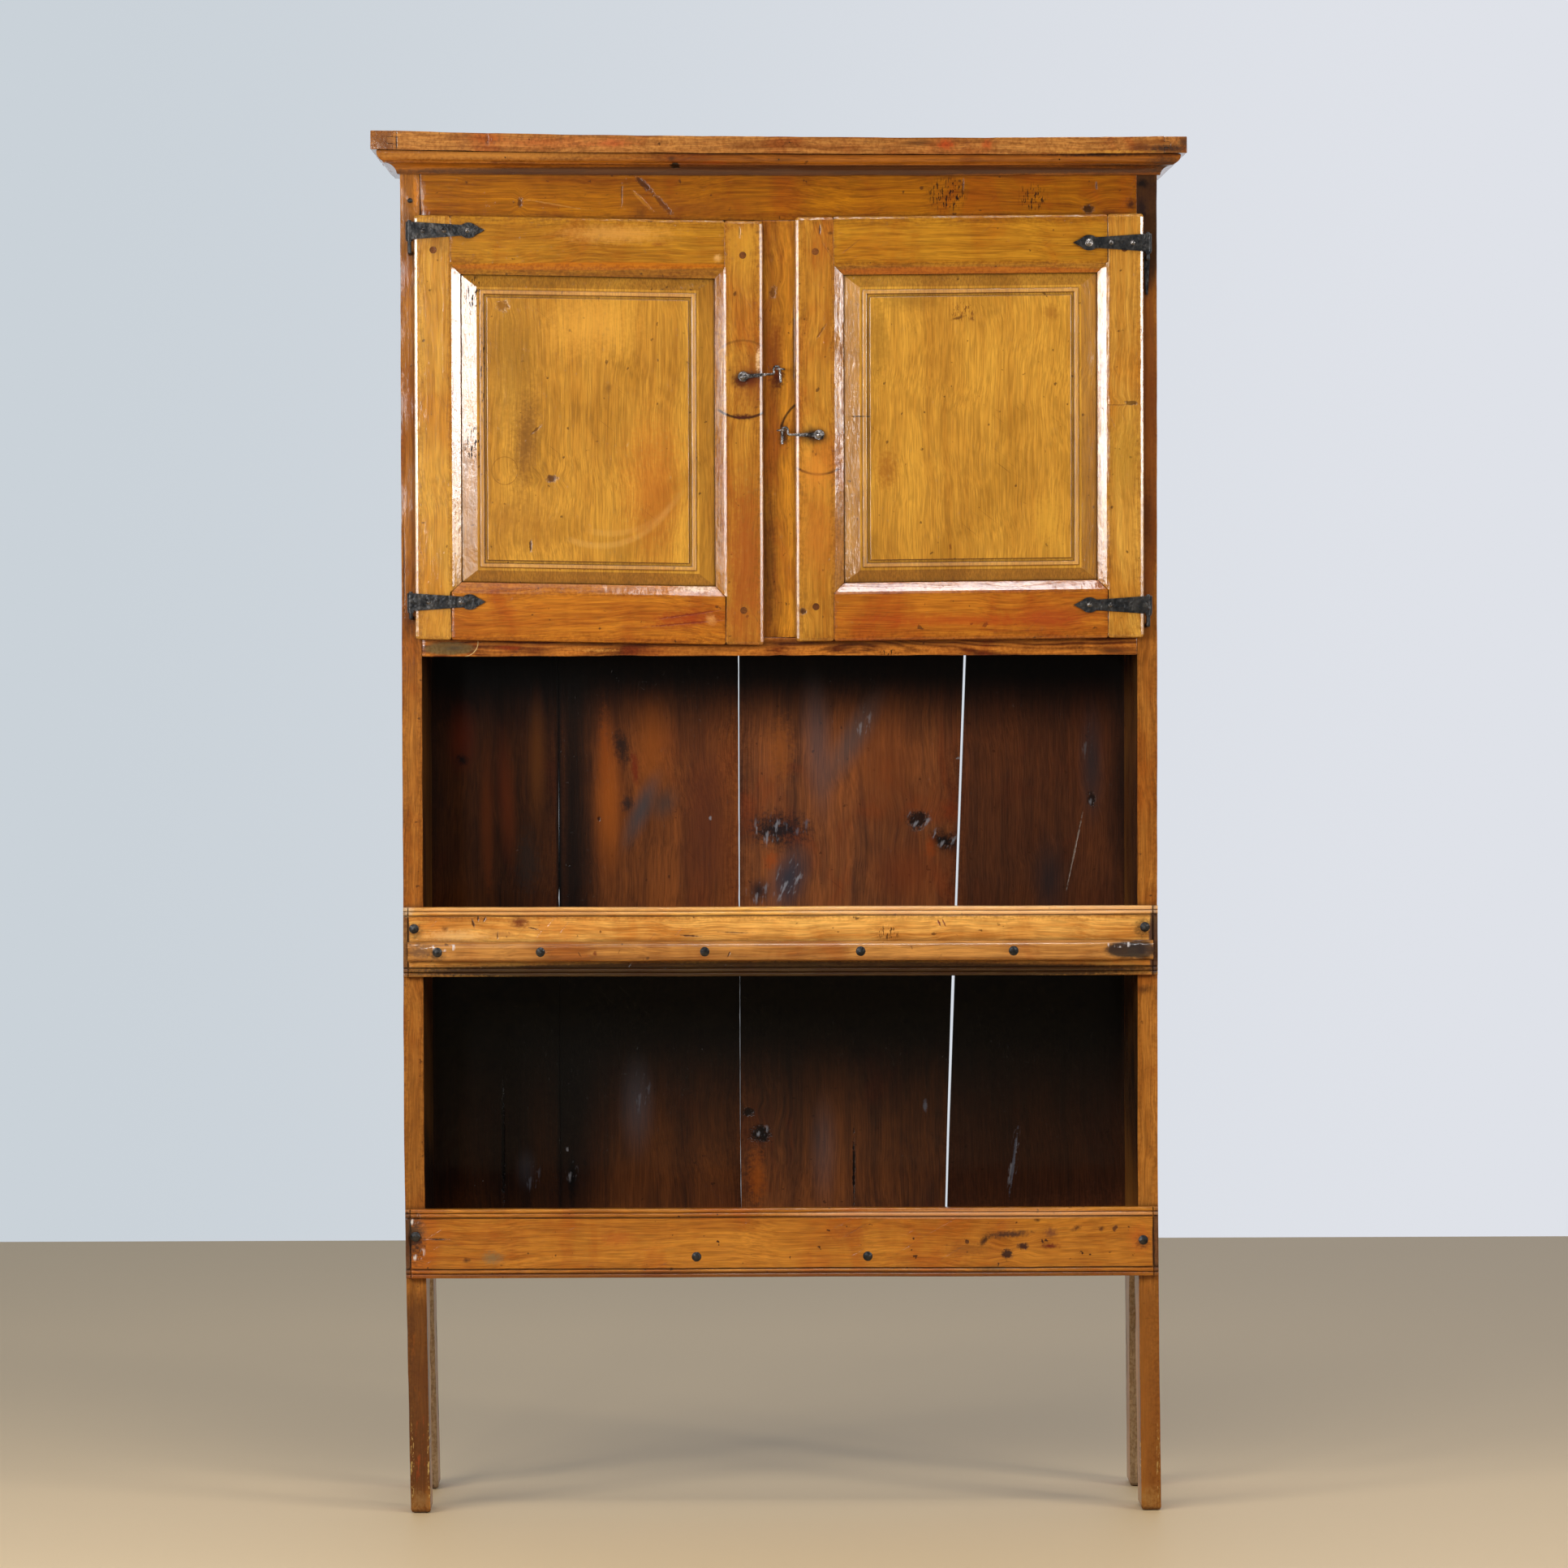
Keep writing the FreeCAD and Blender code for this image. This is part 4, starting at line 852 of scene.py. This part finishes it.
        glint(1165, 1034, 22, 13, 0.75, painted_glint_and_scratch_grey, -24),
        stain(1172, 1000, 14, 16, 0.7, (130, 54, 20)),
        stain(1146, 1044, 9, 18, 0.7, (150, 66, 20)),
        line(1181, 934, 4, 2, 0.7, painted_glint_and_scratch_grey),
        knot(937, 1397, 15, 13, 0.95, (10, 7, 7)),
        glint(936, 1392, 13, 9, 0.7, painted_glint_and_scratch_grey),
        knot(922, 1370, 9, 6, 0.9, (10, 7, 7)),
        stain(932, 1450, 13, 44, 0.7, (150, 74, 18)),
        line(1052, 1440, 2.2, 55, 0.95, (6, 4, 4)),
        # Painted sheen: faint grey patches
        stain(1140, 1362, 3, 9, 0.7, painted_sheen_and_scratch_grey),
        shade(1015, 1420, 24, 90, 0.16, painted_sheen_and_scratch_grey),
    ],
    "back_plank_4": [
        *bay_top_shadows,
        low_shade(0.62),
        line(1324, 1048, 1.3, 54, 0.8, (150, 130, 112), -12),
        # Painted glints and sheen: grey strokes and patches, one about the knot
        glint(1339, 912, 8, 26, 0.45, painted_glint_and_scratch_grey),
        shade(1345, 940, 22, 100, 0.8, (52, 46, 48)),
        knot(1345, 984, 6, 10, 0.8, (20, 14, 12)),
        glint(1345, 982, 6, 11, 0.6, painted_glint_and_scratch_grey),
        shade(1292, 1085, 30, 80, 0.8, (42, 37, 38)),
        glint(1249, 1430, 6, 50, 0.6, painted_glint_and_scratch_grey, -7),
        line(1249, 1430, 2.2, 46, 0.75, painted_sheen_and_scratch_grey, -7),
        # Painted shade along the plank beside the right side
        shade(1386, 960, 34, 210, 0.8, (14, 10, 9)),
    ],
}

# Boards that go on with the marks of the board beside them
shared_marks = {"top_batten_left": "top_board", "top_batten_right": "top_board",
                "cornice_right": "cornice_front"}

# Boards of the carcase

board_brown = ((180, 116, 44), (128, 72, 18), (150, 78, 16))
cornice_brown = ((160, 92, 22), (103, 51, 10), (126, 59, 12))
batten_brown = ((178, 118, 58), (126, 72, 28), (146, 66, 20))
side = partial(Wood, 2, board_brown, steps=(0.02, 0.03, 0.014), interior=True, behind=0.04)
batten = partial(Wood, 1, batten_brown, steps=(0, 0.012, 0.01))
cornice_return = partial(Wood, 1, cornice_brown, steps=(0, 0.012, 0))
shelf = partial(Wood, 0, steps=(0.014, 0.05, 0), interior=True)
plank = partial(Wood, 2, steps=(0.03, 0, 0.016), streak=0.35, coat=0.4, behind=0.010)

carcase_woods = {
    "left_side": side(1, coat=0.45),
    "right_side": side(2, coat=0.5),
    "top_board": Wood(0, ((186, 126, 60), (128, 72, 26), (156, 68, 18)), 3, (0.014, 0.04, 0),
                      contrast=1.2, specks=0.9),
    "top_batten_left": batten(4),
    "top_batten_right": batten(5),
    "cornice_front": Wood(0, cornice_brown, 6, (0.010, 0, 0), contrast=1.2),
    "cornice_left": cornice_return(7),
    "cornice_right": cornice_return(8),
    "frieze_rail": Wood(0, ((171, 105, 8), (124, 65, 4), (148, 70, 3)), 9, (0.014, 0, 0.02), coat=0.5),
    "centre_muntin": Wood(2, ((216, 144, 38), (162, 98, 24), (166, 80, 18)), 10, (0.02, 0, 0.012),
                          contrast=1.1),
    "upper_shelf": shelf(((196, 121, 42), (96, 43, 8), (140, 53, 10)), 11, contrast=1.3, flame=0.35),
    "middle_shelf": shelf(board_brown, 12),
    "lower_shelf": shelf(board_brown, 13),
    "middle_rail": Wood(0, ((236, 176, 88), (184, 116, 44), (205, 123, 43)), 14, (0.010, 0, 0.012),
                        contrast=1.2),
    "middle_rail_strip": Wood(0, ((192, 132, 64), (138, 82, 32), (154, 82, 28)), 15, (0.006, 0, 0),
                              contrast=1.2),
    "lower_rail": Wood(0, ((190, 122, 38), (148, 82, 18), (164, 80, 16)), 16, (0.008, 0, 0.012),
                       specks=1.0),
    "back_plank_1": plank(((84, 43, 15), (30, 15, 8), (82, 34, 10)), 17, contrast=1.2),
    "back_plank_2": plank(((134, 72, 30), (64, 34, 19), (126, 62, 24)), 18, contrast=1.1),
    "back_plank_3": plank(((140, 78, 38), (62, 38, 28), (146, 64, 20)), 19, contrast=1.3),
    "back_plank_4": plank(((108, 58, 30), (62, 36, 24), (104, 50, 24)), 20),
}


def settled(point):
    """The top has sunk with age, most of all to the right of its middle."""
    amount = 0.0107 + 0.0092 * point.x - 0.0169 * point.x ** 2
    share = min(max((point.z - 1.715) / 0.085, 0), 1)
    return Vector((0, 0, -amount * share))


def leaning(point):
    """The foot of the carcase leans to the right, its left side most."""
    share = max(0, (0.5 - point.z) / 0.5) ** 1.3
    return Vector(((0.0056 - 0.0034 * point.x) * share, 0, 0))


# The seams between the back planks, closer here and there than they were cut

left_seam_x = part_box("back_plank_1")[1].x
centre_seam_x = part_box("back_plank_2")[1].x
third_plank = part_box("back_plank_3")
right_seam_foot_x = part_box("back_plank_4")[0].x
middle_shelf_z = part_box("middle_shelf")[0].z
frieze_foot_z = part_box("frieze_rail")[0].z
seam_reach = 0.002


def shut_left_seam(point):
    """Shut, but for two places above the middle shelf."""
    if abs(point.x - left_seam_x) > seam_reach:
        return still
    shift = 0.00055
    for pixel_y, half, depth in ((1106, 0.012, 0.0010), (1005, 0.08, 0.0004)):
        away = abs(point.z - seen((690, pixel_y), back_y)[1]) / half
        shift -= depth * max(0, 1 - away)
    return Vector((shift, 0, 0))


def shut_centre_seam(point):
    """Nearly shut below the middle shelf, and ragged above it."""
    if abs(point.x - centre_seam_x) > seam_reach:
        return still
    ragged = 0.0006 * noise.noise(Vector((0, 0, point.z * 60)))
    return Vector((min(0.0018 + ragged, 0.00195) if point.z < middle_shelf_z else 0.0007 + ragged, 0, 0))


def shut_right_seam(point):
    """Narrower above the middle shelf and towards the floor than between them."""
    low, high = third_plank
    height = (point.z - low.z) / (high.z - low.z)
    if point.x < right_seam_foot_x + (high.x - right_seam_foot_x) * height - 0.006:
        return still
    if point.z > middle_shelf_z:
        return Vector((0.0008, 0, 0))
    return Vector((0.0012 * min(max((0.65 - point.z) / 0.25, 0), 1), 0, 0))


def raised_frieze(point):
    """The foot of the frieze stands a little higher than it was cut."""
    return Vector((0, 0, 0.0045 if abs(point.z - frieze_foot_z) < 0.0022 else 0))


def on_ground(point):
    return point.z < 0.001


own_bends = {
    "back_plank_1": [shut_left_seam],
    "back_plank_2": [shut_centre_seam],
    "back_plank_3": [shut_right_seam],
    "frieze_rail": [raised_frieze],
    "centre_muntin": [raised_frieze],
}
rail_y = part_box("lower_rail")[0].y
strip_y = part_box("middle_rail_strip")[0].y
dents = {
    "lower_rail": [(seen((511, 1526), rail_y), 0.015, 0.004), (seen((1240, 1521), rail_y), 0.012, 0.0015)],
    "middle_rail_strip": [(seen((520, 1178), strip_y), 0.020, 0.004),
                          (seen((1400, 1171), strip_y), 0.030, 0.005)],
}

# How far edges are rounded, faces wave and worn edges are nibbled, on boards and on back planks
board_wear = (0.0012, 0.0005, 0.0014)
plank_wear = (0.0004, 0.0, 0.0)
foot_rounding = 0.005


def dress_carcase():
    for node, look in carcase_woods.items():
        edge, warp, wear = plank_wear if node.startswith("back_plank") else board_wear
        piece = worked(node, edge, look.steps, warp, wear, look.seed,
                       soft=(foot_rounding, on_ground) if node.endswith("_side") else None,
                       bends=[settled, leaning, *own_bends.get(node, ())], dents=dents.get(node, ()))
        look.marks = carcase_marks.get(shared_marks.get(node, node), ())
        finish_with(piece, look.material(node + "_wood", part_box(node)[0].y))


# Doors

door_marks = {
    "left_door_panel": [
        scribble(583, 362, 13, 26, 1.0, soot),
        scribble(582, 548, 13, 28, 1.0, soot),
        scribble(594, 450, 4, 80, 1.0, soot),
        tint(632, 455, 34, 90, 0.6, (136, 94, 28)),
        tint(648, 545, 16, 62, 0.8, (112, 70, 22), -6),
        tint(640, 640, 46, 40, 0.5, (150, 98, 30)),
        knot(679.5, 590, 8, 5, 0.85, (70, 36, 20)),
        line(661, 529, 9, 2, 0.6, umber, 40),
        line(654, 673, 2, 9, 0.85),
        knot(619, 376, 9, 8, 0.6, (112, 64, 16)),
        arc(622, 580, 16, 17, 0.6, (120, 76, 20)),
        arc(740, 560, 104, 112, 0.2, (226, 176, 96), span=(-112, -34)),
        arc(752, 545, 104, 112, 0.14, (226, 176, 96), span=(-104, -34)),
        tint(805, 600, 40, 90, 0.5, (176, 92, 24)),
        stain(750, 478, 5, 8, 0.35),
        tint(726, 400, 60, 40, 0.5, (222, 160, 62)),
    ],
    "left_door_top_rail": [
        stain(812, 301, 12, 3, 0.7, (120, 60, 16)),
        tint(760, 288, 70, 12, 0.6, (206, 146, 66)),
        stain(884, 318, 6, 6, 0.7, (214, 160, 90)),
        band(725, 328, 200, 5, 0.6, (190, 104, 10)),
    ],
    "left_door_bottom_rail": [
        stain(845, 763, 56, 12, 0.65, (140, 44, 14), 4),
        line(850, 757, 44, 1.6, 0.6, (100, 28, 10), 8),
        line(845, 768, 50, 1.4, 0.6, (100, 28, 10), 5),
        stain(876, 763, 8, 8, 0.6, (214, 150, 80)),
        # Painted reflection: a pale patch on the bottom bevel
        stain(860, 725, 34, 6, 0.8, (236, 206, 176)),
    ],
    "left_door_meeting_stile": [
        arc(915.4, 464.8, 50, 50, 0.9, soot, span=(-128, -52)),
        arc(915.4, 464.8, 45, 45, 0.4, umber, span=(50, 130)),
        stain(916, 513.5, 17, 4.5, 1.0, (64, 24, 14)),
        # Dirt and painted shadow of the hook: a dark halo about its pivot
        shade(922, 467, 30, 17, 1.0, soot, 6),
        stain(914, 468, 13, 11, 0.95, soot),
        tint(930, 470, 30, 40, 0.6, (120, 50, 14)),
        tint(918, 690, 30, 110, 0.75, (150, 74, 22)),
        line(911, 286, 1.6, 8, 0.9),
        stain(933, 286, 5, 3, 0.6),
        tint(915, 300, 26, 34, 0.6, (196, 140, 40)),
        stain(934, 443, 3, 20, 0.8, (240, 200, 150)),
    ],
    "left_door_outer_stile": [
        tint(535, 770, 26, 20, 0.5, (180, 116, 30)),
        tint(540, 300, 20, 18, 0.35, umber),
    ],
    "right_door_panel": [
        scribble(1186, 383, 18, 14, 0.8, (96, 50, 18)),
        stain(1198, 393, 3.5, 3.5, 0.9, (84, 36, 12)),
        stain(1180, 392, 10, 2.5, 0.8, (84, 44, 16), 14),
        stain(1093, 578, 17, 30, 0.65, (140, 80, 20)),
        tint(1082, 420, 12, 60, 0.6, (130, 88, 24)),
        stain(1295, 385, 12, 12, 0.55, (140, 86, 24)),
        stain(1171, 674, 2, 5, 0.9, (110, 56, 12)),
        line(1060, 513, 18, 1.1, 0.8, soot),
        stain(1290, 640, 20, 40, 0.5, (206, 152, 50)),
        tint(1125, 370, 40, 14, 0.5, (120, 80, 24)),
    ],
    "right_door_outer_stile": [
        knot(1394, 496.5, 9, 3, 0.8, umber, -4),
        line(1378, 499, 14, 1.0, 0.6, (120, 70, 20)),
        tint(1385, 560, 30, 60, 0.5, (160, 118, 34)),
    ],
    "right_door_meeting_stile": [
        arc(1008.75, 536.3, 48, 48, 0.85, soot, span=(-124, -58)),
        arc(1008.75, 536.3, 46, 46, 0.85, soot, span=(140, 175)),
        # Dirt and painted shadow of the hook: a dark halo about its pivot
        shade(1002, 537, 26, 15, 1.0, soot, -6),
        knot(989.5, 753, 5, 5, 0.9, umber),
        line(1012, 408, 12, 1.5, 0.55, umber, 55),
        line(1010, 283, 1.6, 7, 0.85),
        stain(1023, 287, 4, 3, 0.7),
        tint(1005, 580, 24, 30, 0.5, (214, 130, 44)),
        tint(1006, 660, 30, 60, 0.5, (184, 106, 34)),
    ],
    "right_door_bottom_rail": [
        tint(1180, 764, 140, 8, 0.6, (160, 62, 16)),
        tint(1300, 760, 50, 14, 0.5, (150, 60, 20)),
    ],
    "right_door_top_rail": [
        band(1197, 334, 190, 6, 0.6, (186, 96, 10)),
    ],
}

door_woods = {
    "outer_stile": (2, ((202, 148, 58), (168, 110, 34), (184, 116, 28))),
    "meeting_stile": (2, ((192, 134, 44), (154, 94, 22), (164, 84, 20))),
    "top_rail": (0, ((176, 119, 24), (141, 84, 10), (158, 85, 6))),
    "bottom_rail": (0, ((182, 110, 26), (142, 70, 12), (156, 64, 10))),
    "panel": (2, ((206, 150, 52), (158, 101, 27), (156, 106, 26))),
}
door_steps = {0: (0.014, 0, 0.02), 2: (0.02, 0, 0.014)}
bead_depth = 0.0033
outline_reach = 0.0006
door_sag = 0.011


def dress_door(hand, first_seed):
    parts = [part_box(f"{hand}_door_{part}") for part in door_woods]
    low = Vector([min(corners[0][i] for corners in parts) for i in range(3)])
    high = Vector([max(corners[1][i] for corners in parts) for i in range(3)])

    def on_outline(point):
        return (point.x < low.x + outline_reach or point.x > high.x - outline_reach
                or point.z < low.z + door_sag or point.z > high.z - door_sag)

    for seed, (part, (grain, tones)) in enumerate(door_woods.items(), first_seed):
        node = f"{hand}_door_{part}"
        if part == "panel":
            look = Wood(grain, tones, seed, (0.02, 0, 0.02), contrast=0.75, streak=0.45, coat=1.0, crevice_dirt_and_shade=1.0,
                        margins=True)
            piece = worked(node, 0, look.steps, 0.0003, seed=seed, crisp=6, crest=door_face_y + bead_depth)
        else:
            dull = node == "left_door_bottom_rail"
            look = Wood(grain, tones, seed, door_steps[grain], contrast=1.15, coat=0.5 if dull else 1.0)
            piece = worked(node, 0.0005, look.steps, 0.0003, 0.0005, seed, segments=1, crisp=12,
                           soft=(0.0042, on_outline), arris=0.0016)
        look.marks = door_marks.get(node, ())
        finish_with(piece, look.material(node + "_wood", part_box(node)[0].y))


# Ironwork and pegs

shifted_nodes = ("top_nails", "cornice_brads", "side_nails", "lower_rail_nails")
rubbed_words = ("hook", "eye", "strap_nails")


def dress_irons():
    black_iron = iron("black_iron", rgb(36, 37, 39), rgb(66, 64, 62), 0.28)
    rubbed_iron = iron("rubbed_iron", rgb(52, 50, 49), rgb(150, 144, 140), 0.15)
    for node in nodes:
        if slot_of[node] == "iron":
            piece = nodes[node]
            if node in shifted_nodes:
                piece = worked(node, 0, (0, 0, 0), 0, bends=[settled, leaning])
            rubbed = any(word in node for word in rubbed_words)
            finish_with(piece, rubbed_iron if rubbed else black_iron)


def dress_pegs():
    look = Wood(1, ((120, 70, 30), (74, 40, 18), (90, 44, 18)), 60, coat=0.4)
    peg_wood = look.material("peg_wood", door_face_y)
    for hand in ("left", "right"):
        finish_with(nodes[f"{hand}_door_pegs"], peg_wood)


# Floor, wall and lights

wall_y = 3.57
floor_half = 12.0
wall_height = 9.0


def flat(name, corners):
    mesh = bpy.data.meshes.new(name)
    mesh.from_pydata(corners, [], [range(len(corners))])
    plane = bpy.data.objects.new(name, mesh)
    bpy.context.scene.collection.objects.link(plane)
    return plane


def make_floor():
    h = floor_half
    plane = flat("floor", [(-h, -h, 0), (h, -h, 0), (h, h, 0), (-h, h, 0)])
    s = Shader("pale_floor")
    finish_with(plane, s.finished(s.node("BsdfPrincipled", Base_Color=rgb(214, 186, 142), Roughness=0.55)))


def make_wall():
    """A pale wall that shows only to a camera in front of it."""
    h = floor_half
    corners = [(-h, wall_y, 0), (h, wall_y, 0), (h, wall_y, wall_height), (-h, wall_y, wall_height)]
    plane = flat("wall", corners)
    plane.visible_diffuse = False
    plane.visible_shadow = False
    s = Shader("pale_wall")
    x = s.split(s.coordinates("Object"))[0]
    tone = s.mix(s.ramp(x, -1.4, 1.4), rgb(202, 210, 217), rgb(223, 226, 233))
    behind = s.node("NewGeometry").outputs["Backfacing"]
    glow = s.node("Emission", Color=tone, Strength=1.0).outputs[0]
    clear = s.node("BsdfTransparent").outputs[0]
    shown = s.node("MixShader")
    for i, value in enumerate((behind, glow, clear)):
        s.feed(shown.inputs[i], value)
    finish_with(plane, s.finished(shown))


def softbox(name, centre, aim, size, radiance):
    light = bpy.data.lights.new(name, "AREA")
    light.shape = "RECTANGLE"
    light.size, light.size_y = size
    light.energy = radiance * math.pi * size[0] * size[1]
    lamp = bpy.data.objects.new(name, light)
    lamp.location = centre
    lamp.rotation_euler = (Vector(aim) - Vector(centre)).to_track_quat("-Z", "Y").to_euler()
    lamp.visible_camera = False
    bpy.context.scene.collection.objects.link(lamp)


bright = 22.0

# Each upright window: where its middle stands, its width, its lowest and highest points, its radiance
windows = {
    "right_window": ((2.60, -1.83), 0.40, 1.40, 2.0, 26.0),
    "left_window": ((-2.324, -2.016), 0.62, 1.34, 2.0, 11.5),
    "slope_window": ((-1.946, -2.942), 0.24, 1.48, 2.0, 34.0),
    "slope_glow": ((-1.946, -2.942), 0.24, 1.22, 1.48, 7.0),
    "left_arris_window": ((-1.60, -2.942), 0.20, 1.18, 1.92, bright),
    "right_arris_window": ((-0.92, -2.942), 0.18, 1.18, 1.92, bright),
    "bevel_glow": ((-2.95, -2.0), 0.50, 1.2, 2.0, 6.0),
    "left_far_window": ((-2.815, -2.3), 0.34, 1.15, 1.95, 15.0),
    "left_near_window": ((-2.07, -2.3), 0.34, 1.15, 1.95, 15.0),
    "right_near_window": ((2.155, -2.3), 0.34, 1.15, 1.95, 15.0),
    "right_far_window": ((2.915, -2.3), 0.34, 1.15, 1.95, 15.0),
}


def make_lights():
    """Tall windows whose reflections lie in the doors' bevels and worn edges, one overhead for the
    bottom bevels, and a wide soft light from high in front."""
    for name, ((x, y), width, low, high, radiance) in windows.items():
        middle = (low + high) / 2
        softbox(name, (x, y, middle), (0, front_y, middle), (width, high - low), radiance)
    softbox("overhead", (0.23, -1.614, 3.745), (0.2, front_y, 1.213), (0.75, 0.35), bright)
    softbox("ceiling", (0.1, -1.15, 4.1), (0, front_y, 1.0), (2.6, 0.9), 2.4)
    softbox("front_fill", (-0.4, -3.8, 3.3), (0, front_y, 1.0), (1.6, 0.9), 2.0)


def make_world():
    """A dim room, lighter behind the cupboard than in front of it."""
    world = bpy.data.worlds.new("room")
    bpy.context.scene.world = world
    world.use_nodes = True
    tree = world.node_tree
    background = tree.nodes["Background"]
    toward = tree.nodes.new("ShaderNodeTexCoord")
    split = tree.nodes.new("ShaderNodeSeparateXYZ")
    level = tree.nodes.new("ShaderNodeMapRange")
    level.interpolation_type = "SMOOTHSTEP"
    for key, number in (("From Min", -0.5), ("From Max", 0.7), ("To Min", 0.06), ("To Max", 0.6)):
        level.inputs[key].default_value = number
    tree.links.new(toward.outputs["Generated"], split.inputs[0])
    tree.links.new(split.outputs[1], level.inputs["Value"])
    tree.links.new(level.outputs[0], background.inputs["Strength"])
    background.inputs["Color"].default_value = (0.86, 0.90, 0.95, 1)


dress_carcase()
dress_door("left", 30)
dress_door("right", 40)
dress_irons()
dress_pegs()
make_floor()
make_wall()
make_lights()
make_world()
bpy.context.scene.view_settings.view_transform = "Standard"
